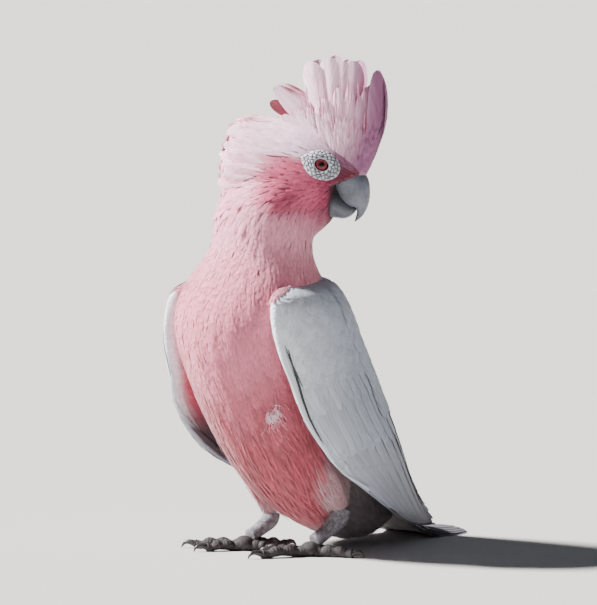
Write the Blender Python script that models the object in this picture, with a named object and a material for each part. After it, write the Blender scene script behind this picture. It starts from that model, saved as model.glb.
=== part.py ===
"""A galah (Eolophus roseicapilla), life size, as a still model.

The bird stands upright on the floor, wings held a little off its flanks, crest raised, head turned
over its left shoulder. It faces -Y, its left is +X and the floor is z = 0. Sizes in the tables are
millimetres; MM turns them into Blender's metres where a mesh is made.
"""

import math

import bmesh
import bpy
from mathutils import Vector

MM = 0.001
GAP = 0.45  # how far a neighbour's shape is grown before it is cut away from a piece

# The tables are laid out round the perch point; this brings the middle of the bird's box to the origin.
STANCE = Vector((-3.9, -21.7, 0.0))

LEFT, RIGHT = 1, -1

COLOURS = {
    "rose": ((0.72, 0.27, 0.33), 0.75),
    "blush": ((0.83, 0.62, 0.66), 0.75),
    "grey": ((0.56, 0.58, 0.61), 0.7),
    "slate": ((0.33, 0.33, 0.35), 0.7),
    "horn": ((0.55, 0.54, 0.50), 0.35),
    "scales": ((0.22, 0.22, 0.23), 0.6),
    "claw": ((0.05, 0.05, 0.05), 0.3),
    "lid": ((0.72, 0.73, 0.76), 0.6),
    "iris": ((0.45, 0.10, 0.09), 0.1),
}

# ---------------------------------------------------------------- trunk and neck
# Each row is one ring: breast point (y, z), back point (y, z), half width, middle x.
# The first six rows are the neck, from inside the head down to the shoulders.
NECK_RINGS = [
    (-44, 248, -10, 248, 17, 8),
    (-61, 237, -3, 240, 28, 4.5),
    (-67.5, 224, -2, 226, 33, 3.5),
    (-69, 210, -3, 212, 33, 2.5),
    (-72.5, 198, -3, 201, 34.5, 1.2),
    (-80, 187.5, -2, 192.5, 38.8, 0.3),
    (-89.5, 174.8, 3, 183.3, 44.5, 0),
]
TRUNK_RINGS = [
    (-89.5, 174.3, 3, 182.8, 44.5, 0),
    (-97, 158, 8, 171, 48, 0),
    (-96, 138, 15, 157, 47, 0),
    (-87, 115, 24, 139, 45, 0),
    (-75, 92, 32, 119, 44, 0),
    (-61, 70, 41, 99, 41.5, 0),
    (-45, 50, 50, 81, 38.5, 0),
    (-25, 32, 58, 65, 34, 0),
    (-3, 17.5, 65, 51, 27, 0),
    (20, 7, 71, 39, 20, 0),
    (42, 3, 78, 29, 17, 0),
    (59, 4, 83, 22, 12, 0),
]
BODY_FULLNESS = 2.15  # 2 is an ellipse, more is squarer

# ---------------------------------------------------------------- head
HEAD_MIDDLE = Vector((18, -18, 0))  # on the head's own middle plane, below the eyes
HEAD_TURN = math.radians(120)  # to the bird's left
HEAD_FORWARD = Vector((math.sin(HEAD_TURN), -math.cos(HEAD_TURN), 0))
HEAD_LEFT = Vector((-HEAD_FORWARD.y, HEAD_FORWARD.x, 0))

# Each row is one ring across the head: crown point (forward, z), throat point (forward, z), half width.
HEAD_RINGS = [
    (-51.0, 250, -51.0, 238, 3),
    (-49.5, 262, -51.5, 228, 11),
    (-44.5, 277, -49.0, 217, 17),
    (-37.0, 284.5, -42.0, 209, 21.5),
    (-24.0, 286, -29.0, 206, 24),
    (-10.0, 285, -15.0, 204.5, 25),
    (4.0, 283, -1.0, 204.5, 24.5),
    (16.0, 278, 9.0, 207, 22.5),
    (26.0, 271, 16.0, 212, 19.5),
    (34.0, 264, 21.0, 216.5, 16),
    (40.0, 257.5, 24.5, 221, 12.8),
    (43.0, 253, 26.5, 230.5, 10),
    (44.0, 249.8, 27.5, 240, 8),
]
HEAD_FULLNESS = 2.1

# A spot on the head's surface: how far along its rings, how far round from the crown.
EYE_SPOT = (0.63, 0.18)
LID_SPOT = (0.618, 0.182)
EYE_RADIUS = 5.6
EYE_DEPTH = 5.2  # the eyeball's middle, below the skin
EYE_OPENING = (4.7, 9.0, 3.9)  # half length, depth and height of the gap between the lids
LID_SIZE = (13.6, 9.2, 4.2)  # half length, half height, half thickness of the bare skin round the eye
LID_DEPTH = 2.3
LID_SLOPE = math.radians(-24)  # the long way of the bare skin, nose end down

# Upper bill: culmen (forward, z), cutting edge (forward, z), half width.
UPPER_BILL = [
    (39.0, 254.0, 22.0, 242.0, 8.4),
    (44.0, 248.5, 27.0, 238.6, 8.8),
    (46.0, 243.5, 29.0, 236.0, 8.5),
    (46.5, 237.3, 31.7, 233.2, 7.8),
    (45.9, 231.5, 35.3, 229.6, 6.3),
    (44.3, 226.8, 38.6, 228.0, 4.6),
    (42.0, 222.8, 38.4, 224.8, 3.0),
    (39.6, 220.3, 37.3, 221.8, 1.7),
    (36.7, 218.4, 36.4, 218.9, 0.5),
]
# Lower bill: upper edge (forward, z), chin line (forward, z), half width.
LOWER_BILL = [
    (17.0, 238.0, 14.0, 223.0, 7.4),
    (23.5, 236.8, 20.0, 221.0, 7.9),
    (28.0, 235.0, 24.5, 220.6, 7.6),
    (32.0, 231.3, 29.0, 220.2, 6.6),
    (35.2, 227.9, 33.0, 221.4, 5.0),
    (36.8, 225.5, 35.9, 223.8, 2.4),
]

# ---------------------------------------------------------------- crest
# Each row is one rank of feathers over the crown: root (forward, z), tip (forward, z),
# tip width, how far the outer pair stands to the side, bow towards the bill.
CREST_RANKS = [
    (42, 257, 54, 315.5, 15, 6, 3),
    (37, 257, 38.5, 324, 16, 9, 5),
    (30, 263, 26, 326, 16, 10, 4),
    (24, 268, 11, 324, 15, 9, 3),
    (13, 274, -8, 309, 15, 0, 1),
    (1, 279, -18, 298, 11, 0, 1),
]
CREST_ROOT_AT = (19, 0, 271)  # the mound the feathers rise from: forward, aside, z
CREST_ROOT_SIZE = (27, 11, 6)
CREST_BLADE = 2.4  # half thickness of a crest feather at its root
CREST_WIDEST = 0.66  # where along its length a crest feather is widest


# ---------------------------------------------------------------- wings
# Each row crosses the folded wing: leading edge (x, y, z), back edge (x, y, z), bulge,
# half thickness outside, half thickness inside (thick at the shoulder, where it meets the trunk).
WING_ROWS = [
    (38, -52, 181, 24, -16, 184, 6, 3, 8),
    (46, -69, 172, 15, 4, 178, 16, 4.5, 15),
    (49.5, -73, 157, 11, 14, 165, 22, 5, 17),
    (52.5, -70, 138, 9, 26, 146, 23, 4.5, 16),
    (55, -63, 119, 8, 38, 127, 23, 4, 12),
    (58.5, -56, 98, 8, 51, 106, 22, 3.5, 7),
    (60, -41, 77, 8, 62, 85, 21, 3, 4),
    (58, -20, 58, 8, 73, 66, 18, 2.5, 2.5),
    (51, 13, 41, 8, 83, 47, 13, 2, 2),
    (41, 44, 24, 10, 95, 29, 8, 1.8, 1.8),
    (29, 76, 12, 14, 107, 16, 3, 1.5, 1.5),
    (22, 102, 9, 15, 114, 9.8, 1, 1.0, 1.0),
]

WING_HELD_OUT = {LEFT: 0.0, RIGHT: 1.3}  # how far each wing's front edge hangs away from the flank

# ---------------------------------------------------------------- tail
# Each row crosses the tail: y, z of its middle, half width, half thickness.
TAIL_ROWS = [
    (50, 62, 12, 5),
    (64, 43, 14.5, 4.5),
    (77, 26, 17, 3.6),
    (90, 12, 18.5, 2.6),
    (105, 4.4, 20, 2.0),
    (124, 2.0, 21.5, 1.6),
    (141, 1.4, 21.5, 1.2),
]
TAIL_ARCH = 4.0  # how much lower the tail's sides lie than its middle, at the root

# ---------------------------------------------------------------- legs
# name: feathered shin (x, y, z, radius) from the hip down, then the foot.
SHINS = {
    LEFT: [(21, -20, 78, 11), (26.5, -9, 58, 13.5), (27.5, 3, 41, 9.8), (26.5, 11.5, 30, 6.4)],
    RIGHT: [(-21, -25, 74, 11), (-25.5, -17, 53, 11.5), (-25.8, -8, 36, 8.0), (-25, -1.5, 22.5, 6.4)],
}
SHANKS = {
    LEFT: [(26.3, 12.0, 28.2, 5.8), (26, 9, 22, 5.9), (25, -2, 14.2, 4.7), (24.2, -11, 9.4, 4.7)],
    RIGHT: [(-25.2, -1.0, 22.5, 5.5), (-25, -3.5, 17.5, 5.6), (-25, -13.5, 12, 4.5), (-25, -21, 8.8, 4.5)],
}
PADS = {LEFT: (24, -15, 5.4), RIGHT: (-25, -26.5, 5.4)}
PAD_SIZE = (7.2, 7.2, 5.8)
HEADINGS = {LEFT: 40.0, RIGHT: 45.0}  # degrees from straight ahead, towards the bird's right
# toe: angle from the foot's heading (outer side first), length, claw length, radius at the root.
TOES = {
    "outer_front": (-15.0, 33.0, 13.0, 3.6),
    "inner_front": (14.0, 25.0, 12.0, 3.4),
    "outer_hind": (203.0, 29.0, 11.0, 3.5),
    "inner_hind": (158.0, 17.0, 10.0, 3.1),
}


def blend(rows, t):
    """The row of numbers at t, 0 to 1, on a Catmull-Rom curve through evenly spaced rows."""
    last = len(rows) - 1
    place = min(max(t, 0.0), 1.0) * last
    first = min(int(place), last - 1)
    f = place - first
    near = [rows[min(max(first + k, 0), last)] for k in (-1, 0, 1, 2)]
    return [
        0.5 * (2 * b + (c - a) * f + (2 * a - 5 * b + 4 * c - d) * f**2 + (3 * b - a - 3 * c + d) * f**3)
        for a, b, c, d in zip(*near)
    ]


def course(rows, along, size):
    """Which way the rows' first numbers run at a place along them."""
    ahead = Vector(blend(rows, min(1, along + 0.02))[:size])
    return (ahead - Vector(blend(rows, max(0, along - 0.02))[:size])).normalized()


def rounded(around, fullness):
    """A point of a unit ring with squarer or rounder shoulders; around runs 0 to 1."""
    angle = around * math.tau
    c, s = math.cos(angle), math.sin(angle)
    power = 2 / fullness
    return math.copysign(abs(c) ** power, c), math.copysign(abs(s) ** power, s)


def material(name):
    """A plain finish in one of the bird's colours."""
    found = bpy.data.materials.get(name)
    if found:
        return found
    made = bpy.data.materials.new(name)
    made.use_nodes = True
    colour, roughness = COLOURS[name]
    shader = made.node_tree.nodes["Principled BSDF"]
    shader.inputs["Base Color"].default_value = (*colour, 1)
    shader.inputs["Roughness"].default_value = roughness
    shader.inputs["Metallic"].default_value = 0.0
    made.diffuse_color = (*colour, 1)
    return made


def finish(name, mesh_data, colour):
    """Puts a bmesh, still in millimetres, into the scene as a named, smooth shaded piece."""
    bmesh.ops.translate(mesh_data, verts=mesh_data.verts, vec=STANCE)
    bmesh.ops.scale(mesh_data, verts=mesh_data.verts, vec=(MM, MM, MM))
    bmesh.ops.recalc_face_normals(mesh_data, faces=mesh_data.faces)
    mesh = bpy.data.meshes.new(name)
    mesh_data.to_mesh(mesh)
    mesh_data.free()
    mesh.materials.append(material(colour))
    mesh.shade_smooth()
    mesh.set_sharp_from_angle(angle=math.radians(50))
    piece = bpy.data.objects.new(name, mesh)
    bpy.context.scene.collection.objects.link(piece)
    return piece


def tube(name, place, rings, sides, colour):
    """A closed piece whose rings are place(along, around), both 0 to 1. The end rings are capped."""
    made = bmesh.new()
    bmesh.ops.create_grid(made, x_segments=sides, y_segments=rings, size=1)
    for vertex in made.verts:
        around, along = (vertex.co.x + 1) / 2, (vertex.co.y + 1) / 2
        vertex.co = place(along, around % 1.0 if around < 0.9999 else 0.0)
    bmesh.ops.remove_doubles(made, verts=made.verts, dist=0.01)
    bmesh.ops.holes_fill(made, edges=[e for e in made.edges if e.is_boundary], sides=0)
    bmesh.ops.triangulate(made, faces=[f for f in made.faces if len(f.verts) > 4])
    return finish(name, made, colour)


def ball(name, middle, size, turn, sides, rings, colour):
    """An egg or ball: size holds its half lengths along the three axes of turn."""
    made = bmesh.new()
    bmesh.ops.create_uvsphere(made, u_segments=sides, v_segments=rings, radius=1)
    for vertex in made.verts:
        at = vertex.co.copy()
        vertex.co = middle + sum((axis * c * s for axis, c, s in zip(turn, at, size)), Vector())
        vertex.co.z = max(vertex.co.z, 0.0)
    bmesh.ops.remove_doubles(made, verts=made.verts, dist=0.01)
    return finish(name, made, colour)


def helper(piece):
    """Hides a piece that only shapes others."""
    piece.hide_render = True
    piece.display_type = "WIRE"
    return piece


def grown(piece, by=GAP):
    """A hidden copy of a piece, grown outwards, for cutting its neighbours clear of it."""
    name = f"grown_{piece.name}"
    found = bpy.data.objects.get(name)
    if found:
        return found
    made = bmesh.new()
    made.from_mesh(piece.data)
    made.normal_update()
    for vertex in made.verts:
        vertex.co += vertex.normal * by * MM * min(vertex.calc_shell_factor(), 1.4)
    mesh = bpy.data.meshes.new(name)
    made.to_mesh(mesh)
    made.free()
    copy = bpy.data.objects.new(name, mesh)
    bpy.context.scene.collection.objects.link(copy)
    return helper(copy)


def combined(piece, operation, other):
    """Joins another shape to a piece, or cuts it out."""
    step = piece.modifiers.new(f"{operation.lower()}_{other.name}", "BOOLEAN")
    step.operation = operation
    step.solver = "EXACT"
    step.use_self = operation == "DIFFERENCE"
    step.object = other


def clear_of(piece, *neighbours):
    """Cuts the neighbours' grown shapes out of a piece, so that it meets them without overlap."""
    for neighbour in neighbours:
        combined(piece, "DIFFERENCE", grown(neighbour))


def body_ring(rings, start=0.0, end=1.0):
    """The surface through the body's rings, from start to end of their length."""

    def place(along, around):
        breast_y, breast_z, back_y, back_z, half, x = blend(rings, start + (end - start) * along)
        middle = Vector((x, (breast_y + back_y) / 2, (breast_z + back_z) / 2))
        to_breast = Vector((0, (breast_y - back_y) / 2, (breast_z - back_z) / 2))
        c, s = rounded(around, BODY_FULLNESS)
        return middle + to_breast * c + Vector((half * s, 0, 0))

    return place


def in_head(forward, aside, z):
    """A point of the head's own frame: forward along the bill, aside to the head's left."""
    return HEAD_MIDDLE + HEAD_FORWARD * forward + HEAD_LEFT * aside + Vector((0, 0, z))


def head_ring(rows, fullness=2.0):
    """The surface through rows of the head or bill; each ring runs from its first point to its second."""

    def place(along, around):
        f1, z1, f2, z2, half = blend(rows, along)
        c, s = rounded(around, fullness)
        return in_head((f1 + f2) / 2 + (f1 - f2) / 2 * c, half * s, (z1 + z2) / 2 + (z1 - z2) / 2 * c)

    return place


def crest_feather(root, tip, width, bow, aside):
    """One raised feather: a flat blade from root to tip, bowed forward, its face turned outwards."""
    start = in_head(root[0], aside * 0.45, root[1])
    end = in_head(tip[0], aside, tip[1])
    along_it = end - start
    across = HEAD_LEFT.cross(along_it).normalized()
    face = along_it.cross(across).normalized()

    def place(along, around):
        along = 1 - (1 - along) ** 1.5
        spread = 0.45 + 0.55 * along / CREST_WIDEST
        if along > CREST_WIDEST:
            spread = math.sqrt(max(0.0, 1 - ((along - CREST_WIDEST) / (1 - CREST_WIDEST)) ** 2))
        arch = math.sin(math.pi * along) * bow
        c, s = rounded(around, 2.0)
        thick = CREST_BLADE * (1 - 0.5 * along) * min(1.0, spread * 2)
        return start + along_it * along + across * (arch + c * width * spread / 2) + face * s * thick

    return place


def wing_ring(side):
    """The folded wing: out over its outer face from leading edge to back edge, and back inside."""

    def place(along, around):
        lx, ly, lz, bx, by, bz, bulge, outside, inside = blend(WING_ROWS, along)
        lead, back = Vector((lx, ly, lz)), Vector((bx, by, bz))
        across = 1 - abs(2 * around - 1)
        chord = back - lead
        outward = Vector((chord.y, -chord.x, 0)).normalized()
        arch = bulge * 4 * across * (1 - across) * (0.6 + 0.8 * across)
        edge = math.sqrt(max(0.0, 1 - (2 * across - 1) ** 2))
        if around < 0.5:
            depth = outside * min(1.0, 1.6 * edge)
        else:
            depth = -inside * edge**1.3 - min(1.0, 1.6 * edge) * 1.2
        hang = WING_HELD_OUT[side] * math.sin(math.pi * along) * (1 - across)
        point = lead + chord * across + outward * (arch + depth) + Vector((hang, -hang, 0))
        return Vector((side * point.x, point.y, max(point.z, 0.6)))

    return place


def tail_ring(along, around):
    y, z, half, thick = blend(TAIL_ROWS, along)
    ahead = course(TAIL_ROWS, along, 2)
    up = Vector((0, -ahead.y, ahead.x))
    c, s = rounded(around, 2.6)
    arch = TAIL_ARCH * (1 - along) * s * s
    point = Vector((half * s, y, z)) + up * (thick * c - arch)
    return Vector((point.x, point.y, max(point.z, 0.0)))


def limb_ring(rows, fullness=2.0):
    """A round limb through rows of x, y, z, radius."""

    def place(along, around):
        x, y, z, radius = blend(rows, along)
        ahead = course(rows, along, 3)
        side = ahead.cross(Vector((0, 0, 1))).normalized()
        up = side.cross(ahead).normalized()
        c, s = rounded(around, fullness)
        point = Vector((x, y, z)) + (side * c + up * s) * radius
        return Vector((point.x, point.y, max(point.z, 0.0)))

    return place


def toe_rows(pad, angle, length, radius):
    """A toe from under the pad's edge to the root of its claw: three joints, each a low bump."""
    way = Vector((-math.sin(angle), -math.cos(angle), 0))
    rows = []
    steps = 6
    for step in range(steps + 1):
        t = step / steps
        knuckle = 1 + 0.13 * math.cos(t * 3 * math.tau)
        thick = radius * (1 - 0.22 * t) * knuckle
        point = Vector((pad[0], pad[1], 0)) + way * (4.5 + (length - 4.5) * t)
        rows.append((point.x, point.y, thick * 0.86 + 1.6 * math.sin(math.pi * t) ** 2, thick))
    return rows, way


def claw_rows(start, way, length, radius):
    """A claw: a hooked horn that rises out of the toe's end and comes down to the floor."""
    rows = []
    steps = 5
    for step in range(steps + 1):
        t = step / steps
        reach = length * 0.8 * math.sin(t * 1.35)
        height = start.z * (1 - t) + 2.6 * math.sin(math.pi * t) + 0.2 * t
        thick = max(radius * (1 - t) ** 0.7, 0.3)
        rows.append((start.x + way.x * reach, start.y + way.y * reach, height, thick))
    return rows


def on_head(spot, side):
    """A spot of the head's surface on one side, and its own frame: towards the bill, outwards, upwards."""
    surface = head_ring(HEAD_RINGS, HEAD_FULLNESS)
    along, around = spot[0], spot[1] if side == LEFT else 1 - spot[1]
    ahead = surface(along + 0.02, around) - surface(along - 0.02, around)
    across = surface(along, around + 0.02) - surface(along, around - 0.02)
    outward = ahead.cross(across).normalized()
    if outward.dot(HEAD_LEFT) * side < 0:
        outward.negate()
    forward = (HEAD_FORWARD - outward * HEAD_FORWARD.dot(outward)).normalized()
    upward = outward.cross(forward) * (-side)
    return surface(along, around), forward, outward, upward


def make_head():
    head = tube("head", head_ring(HEAD_RINGS, HEAD_FULLNESS), 17, 22, "rose")
    for name, side in (("left", LEFT), ("right", RIGHT)):
        spot, forward, outward, upward = on_head(EYE_SPOT, side)
        turn = (forward, outward, upward)
        eye_at = spot - outward * EYE_DEPTH
        eye = ball(f"eye_{name}", eye_at, (EYE_RADIUS,) * 3, turn, 10, 7, "iris")
        spot, forward, outward, upward = on_head(LID_SPOT, side)
        turn = (
            forward * math.cos(LID_SLOPE) + upward * math.sin(LID_SLOPE),
            outward,
            upward * math.cos(LID_SLOPE) - forward * math.sin(LID_SLOPE),
        )
        length, height, thick = LID_SIZE
        lid_at = spot - outward * LID_DEPTH
        lid = ball(f"eye_ring_{name}", lid_at, (length, thick, height), turn, 14, 7, "lid")
        opening = ball(f"opening_{name}", eye_at + outward * 4, EYE_OPENING, turn, 10, 6, "lid")
        clear_of(head, eye)
        clear_of(lid, head, eye)
        combined(lid, "DIFFERENCE", helper(opening))
    return head


def make_bill(head):
    upper = tube("bill_upper", head_ring(UPPER_BILL), 11, 12, "horn")
    lower = tube("bill_lower", head_ring(LOWER_BILL), 7, 12, "horn")
    clear_of(lower, upper, head)
    clear_of(upper, head)


def make_crest(head):
    blades = []
    for rank, (root_x, root_z, tip_x, tip_z, width, aside, bow) in enumerate(CREST_RANKS):
        for lean in (0, 1, -1) if aside else (0,):
            spot = lean * aside
            tip = (tip_x - abs(lean) * 2, tip_z - abs(lean) * 5)
            root = (root_x - abs(lean) * 1.5, root_z - abs(lean) * 1.5 - 3)
            shape = crest_feather(root, tip, width, bow, spot)
            blades.append(tube(f"crest_blade_{rank}_{lean + 1}", shape, 5, 6, "blush"))
    rise = Vector((0, 0, 1))
    slope = (rise * 0.545 - HEAD_FORWARD * 0.838, HEAD_LEFT, rise * 0.838 + HEAD_FORWARD * 0.545)
    blades.append(ball("crest_root", in_head(*CREST_ROOT_AT), CREST_ROOT_SIZE, slope, 10, 6, "blush"))
    crest = blades[0]
    crest.name = "crest"
    for blade in blades[1:]:
        combined(crest, "UNION", helper(blade))
    clear_of(crest, head)


def make_legs(trunk):
    for name, side in (("left", LEFT), ("right", RIGHT)):
        shin = tube(f"shin_{name}", limb_ring(SHINS[side]), 6, 12, "grey")
        clear_of(shin, trunk)
        shank = tube(f"shank_{name}", limb_ring(SHANKS[side]), 5, 10, "scales")
        clear_of(shank, shin, trunk)
        pad_at = Vector(PADS[side])
        square = (Vector((1, 0, 0)), Vector((0, 1, 0)), Vector((0, 0, 1)))
        pad = ball(f"sole_{name}", pad_at, PAD_SIZE, square, 10, 6, "scales")
        clear_of(pad, shank)
        for toe, (turn, length, claw, radius) in TOES.items():
            angle = math.radians(HEADINGS[side] + side * turn)
            rows, way = toe_rows(pad_at, angle, length, radius)
            digit = tube(f"toe_{toe}_{name}", limb_ring(rows), 7, 6, "scales")
            clear_of(digit, pad, shank)
            if toe.startswith("inner"):
                clear_of(digit, bpy.data.objects[f"toe_{toe.replace('inner', 'outer')}_{name}"])
            hook = claw_rows(Vector(rows[-1][:3]) - way * 0.6, way, claw, rows[-1][3] * 0.72)
            clear_of(tube(f"claw_{toe}_{name}", limb_ring(hook), 5, 6, "claw"), digit)


def make_galah():
    trunk = tube("trunk", body_ring(TRUNK_RINGS), 16, 22, "rose")
    head = make_head()
    neck = tube("neck", body_ring(NECK_RINGS), 9, 22, "rose")
    clear_of(neck, head)
    make_bill(head)
    make_crest(head)
    tail = tube("tail", tail_ring, 8, 12, "slate")
    clear_of(tail, trunk)
    make_legs(trunk)
    for name, side in (("left", LEFT), ("right", RIGHT)):
        wing = tube(f"wing_{name}", wing_ring(side), 15, 16, "grey")
        clear_of(wing, trunk, tail, neck, bpy.data.objects[f"shin_{name}"])


for old in list(bpy.data.objects):
    bpy.data.objects.remove(old)
make_galah()
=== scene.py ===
"""The looks of a life-size galah: its skin, plumage, head, feet, floor and light.

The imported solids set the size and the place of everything. One skin is drawn inside the flesh, and the
plumage lies over it as vanes that follow the lie of the coat. Lengths are millimetres until a mesh is
made, where MM turns them into metres. The bird faces -Y and its left is +X; its head is turned left.
"""

import math

import bmesh
import bpy
import numpy as np
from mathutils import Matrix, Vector
from mathutils.bvhtree import BVHTree
from mathutils.kdtree import KDTree


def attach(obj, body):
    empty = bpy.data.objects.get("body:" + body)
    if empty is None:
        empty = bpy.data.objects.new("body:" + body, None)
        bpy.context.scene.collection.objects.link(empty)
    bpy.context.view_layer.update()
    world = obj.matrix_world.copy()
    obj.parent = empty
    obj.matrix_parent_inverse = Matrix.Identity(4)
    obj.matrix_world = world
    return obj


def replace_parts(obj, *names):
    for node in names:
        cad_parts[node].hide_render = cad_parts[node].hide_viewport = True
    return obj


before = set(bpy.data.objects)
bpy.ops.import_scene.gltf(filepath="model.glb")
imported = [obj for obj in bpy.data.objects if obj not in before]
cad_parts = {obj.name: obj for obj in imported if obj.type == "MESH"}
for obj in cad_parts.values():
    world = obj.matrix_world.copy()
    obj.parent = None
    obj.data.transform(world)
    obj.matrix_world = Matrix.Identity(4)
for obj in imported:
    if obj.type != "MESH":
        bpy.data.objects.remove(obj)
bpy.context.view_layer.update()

MM = 0.001
STANCE = np.array((-3.9, -21.7, 0.0))  # the tables' perch point, in the bird's own box
LEFT, RIGHT = 1, -1
SIDES = {"left": LEFT, "right": RIGHT}
FLESH = ("head", "neck", "trunk", "shin_left", "shin_right")
TUFT_MIDDLE = (21.0, -74.0, 100.0)

HEAD_MIDDLE = np.array((18.0, -18.0, 0.0)) + STANCE
HEAD_TURN = math.radians(120)
HEAD_FORWARD = np.array((math.sin(HEAD_TURN), -math.cos(HEAD_TURN), 0.0))
HEAD_LEFT = np.array((-HEAD_FORWARD[1], HEAD_FORWARD[0], 0.0))
UP = np.array((0.0, 0.0, 1.0))
BILL_ROOT = np.array((41.0, 0.0, 243.0))  # in the head's frame: forward, aside, z

# Each row crosses the folded wing: leading edge (x, y, z), back edge (x, y, z), bulge,
# half thickness outside, half thickness inside.
WING_ROWS = [
    (38, -52, 181, 24, -16, 184, 6, 3, 8),
    (46, -69, 172, 15, 4, 178, 16, 4.5, 15),
    (49.5, -73, 157, 11, 14, 165, 22, 5, 17),
    (52.5, -70, 138, 9, 26, 146, 23, 4.5, 16),
    (55, -63, 119, 8, 38, 127, 23, 4, 12),
    (58.5, -56, 98, 8, 51, 106, 22, 3.5, 7),
    (60, -41, 77, 8, 62, 85, 21, 3, 4),
    (58, -20, 58, 8, 73, 66, 18, 2.5, 2.5),
    (51, 13, 41, 8, 83, 47, 13, 2, 2),
    (41, 44, 24, 10, 95, 29, 8, 1.8, 1.8),
    (29, 76, 12, 14, 107, 16, 3, 1.5, 1.5),
    (22, 102, 9, 15, 114, 9.8, 1, 1.0, 1.0),
]
WING_HELD_OUT = {LEFT: 0.0, RIGHT: 1.3}

# Each row crosses the tail: y, z of its middle, half width, half thickness.
TAIL_ROWS = [
    (50, 62, 12, 5),
    (64, 43, 14.5, 4.5),
    (77, 26, 17, 3.6),
    (90, 12, 18.5, 2.6),
    (105, 4.4, 20, 2.0),
    (124, 2.0, 21.5, 1.6),
    (141, 1.4, 21.5, 1.2),
]
TAIL_ARCH = 4.0

# Upper bill: culmen (forward, z), cutting edge (forward, z), half width. Lower: upper edge, chin.
UPPER_BILL = [
    (39.0, 254.0, 22.0, 242.0, 8.4),
    (44.0, 248.5, 24.4, 238.0, 8.8),
    (46.0, 243.5, 26.2, 234.4, 8.5),
    (46.5, 237.3, 28.8, 231.0, 7.8),
    (45.9, 231.5, 32.4, 228.6, 6.3),
    (44.3, 226.8, 36.6, 228.0, 4.6),
    (42.0, 222.8, 38.0, 225.0, 3.0),
    (39.6, 220.3, 37.3, 221.8, 1.7),
    (36.7, 218.4, 36.4, 218.9, 0.5),
]
LOWER_BILL = [
    (20.0, 240.0, 14.0, 223.0, 7.2),
    (26.0, 238.0, 20.0, 221.0, 7.8),
    (30.0, 234.6, 24.5, 220.6, 7.4),
    (34.0, 231.0, 29.0, 220.2, 6.2),
    (37.0, 228.6, 33.0, 221.4, 4.6),
    (37.6, 226.6, 35.9, 223.8, 2.2),
]

# Feathered shins from the hip down: x, y, z, radius.
SHINS = [
    [(21, -20, 78, 11), (26.5, -9, 58, 13.5), (27.5, 3, 41, 9.8), (26.5, 11.5, 30, 6.4)],
    [(-21, -25, 74, 11), (-25.5, -17, 53, 11.5), (-25.8, -8, 36, 8.0), (-25, -1.5, 22.5, 6.4)],
]
# Legs: x, y, z, radius down the bare shank; the sole; the foot's heading; each toe's turn from it,
# length, claw length and radius at the root.
SHANKS = {
    LEFT: [(26.3, 12.0, 28.2, 5.8), (26, 9, 22, 5.9), (25, -2, 14.2, 4.7), (24.2, -11, 9.4, 4.7)],
    RIGHT: [(-25.2, -1.0, 22.5, 5.5), (-25, -3.5, 17.5, 5.6), (-25, -13.5, 12, 4.5), (-25, -21, 8.8, 4.5)],
}
PADS = {LEFT: (24, -15, 5.4), RIGHT: (-25, -26.5, 5.4)}
PAD_SIZE = (7.2, 7.2, 5.8)
HEADINGS = {LEFT: 40.0, RIGHT: 45.0}
TOES = {
    "outer_front": (-15.0, 33.0, 13.0, 3.6),
    "inner_front": (14.0, 25.0, 12.0, 3.4),
    "outer_hind": (203.0, 29.0, 11.0, 3.5),
    "inner_hind": (158.0, 17.0, 10.0, 3.1),
}


# ---------------------------------------------------------------- small tools
def shade(red, green, blue):
    """A colour named on the usual 0 to 255 scale, as the light it reflects."""
    value = np.array((red, green, blue), float) / 255
    return np.where(value <= 0.04045, value / 12.92, ((value + 0.055) / 1.055) ** 2.4)


def unit(vectors):
    return vectors / np.maximum(np.linalg.norm(vectors, axis=-1, keepdims=True), 1e-9)


def dot(a, b):
    return (a * b).sum(-1, keepdims=True)


def ease(value, low, high):
    """0 below low, 1 above high, smooth between; high below low turns it round."""
    t = np.clip((np.asarray(value, float) - low) / (high - low), 0, 1)
    return t * t * (3 - 2 * t)


def mix(first, second, mask):
    return first + (second - first) * np.asarray(mask)[..., None]


def blend(rows, t):
    """Rows of numbers read on a Catmull-Rom curve: one row for each t, 0 to 1."""
    rows = np.asarray(rows, float)
    last = len(rows) - 1
    place = np.clip(np.asarray(t, float), 0, 1) * last
    first = np.minimum(place.astype(int), last - 1)
    f = (place - first)[..., None]
    a, b, c, d = (rows[np.clip(first + k, 0, last)] for k in (-1, 0, 1, 2))
    return 0.5 * (2 * b + (c - a) * f + (2 * a - 5 * b + 4 * c - d) * f**2 + (3 * b - a - 3 * c + d) * f**3)


def heading(rows, t, columns):
    """Which way some columns of a table run at t, as unit vectors."""
    step = 0.02
    ahead = blend(rows, np.minimum(t + step, 1))[..., columns]
    return unit(ahead - blend(rows, np.maximum(t - step, 0))[..., columns])


def clouds(points, size, seed):
    """Soft patches over the body, about -1 to 1, from a few turned waves."""
    dice = np.random.default_rng(seed)
    total = np.zeros(points.shape[:-1])
    for _ in range(6):
        way = unit(dice.normal(size=3))
        total += np.sin(points @ way * math.tau / (size * dice.uniform(0.7, 1.5)) + dice.uniform(0, math.tau))
    return total / 3.2


def in_head(points):
    """World points in the head's frame: forward, aside to its left, z."""
    off = points - HEAD_MIDDLE
    return np.stack([off @ HEAD_FORWARD, off @ HEAD_LEFT, off[..., 2]], -1)


def from_head(spots):
    """Points of the head's frame in the world."""
    spots = np.asarray(spots, float)
    level = HEAD_MIDDLE + spots[..., :1] * HEAD_FORWARD + spots[..., 1:2] * HEAD_LEFT
    return level + spots[..., 2:] * UP


def plain(colour, points):
    """One colour for every point."""
    return np.broadcast_to(colour, points.shape)


# ---------------------------------------------------------------- pieces
def mesh_of(name, made):
    """Turns a bmesh into a mesh and lets the bmesh go."""
    mesh = bpy.data.meshes.new(name)
    made.to_mesh(mesh)
    made.free()
    return mesh


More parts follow.
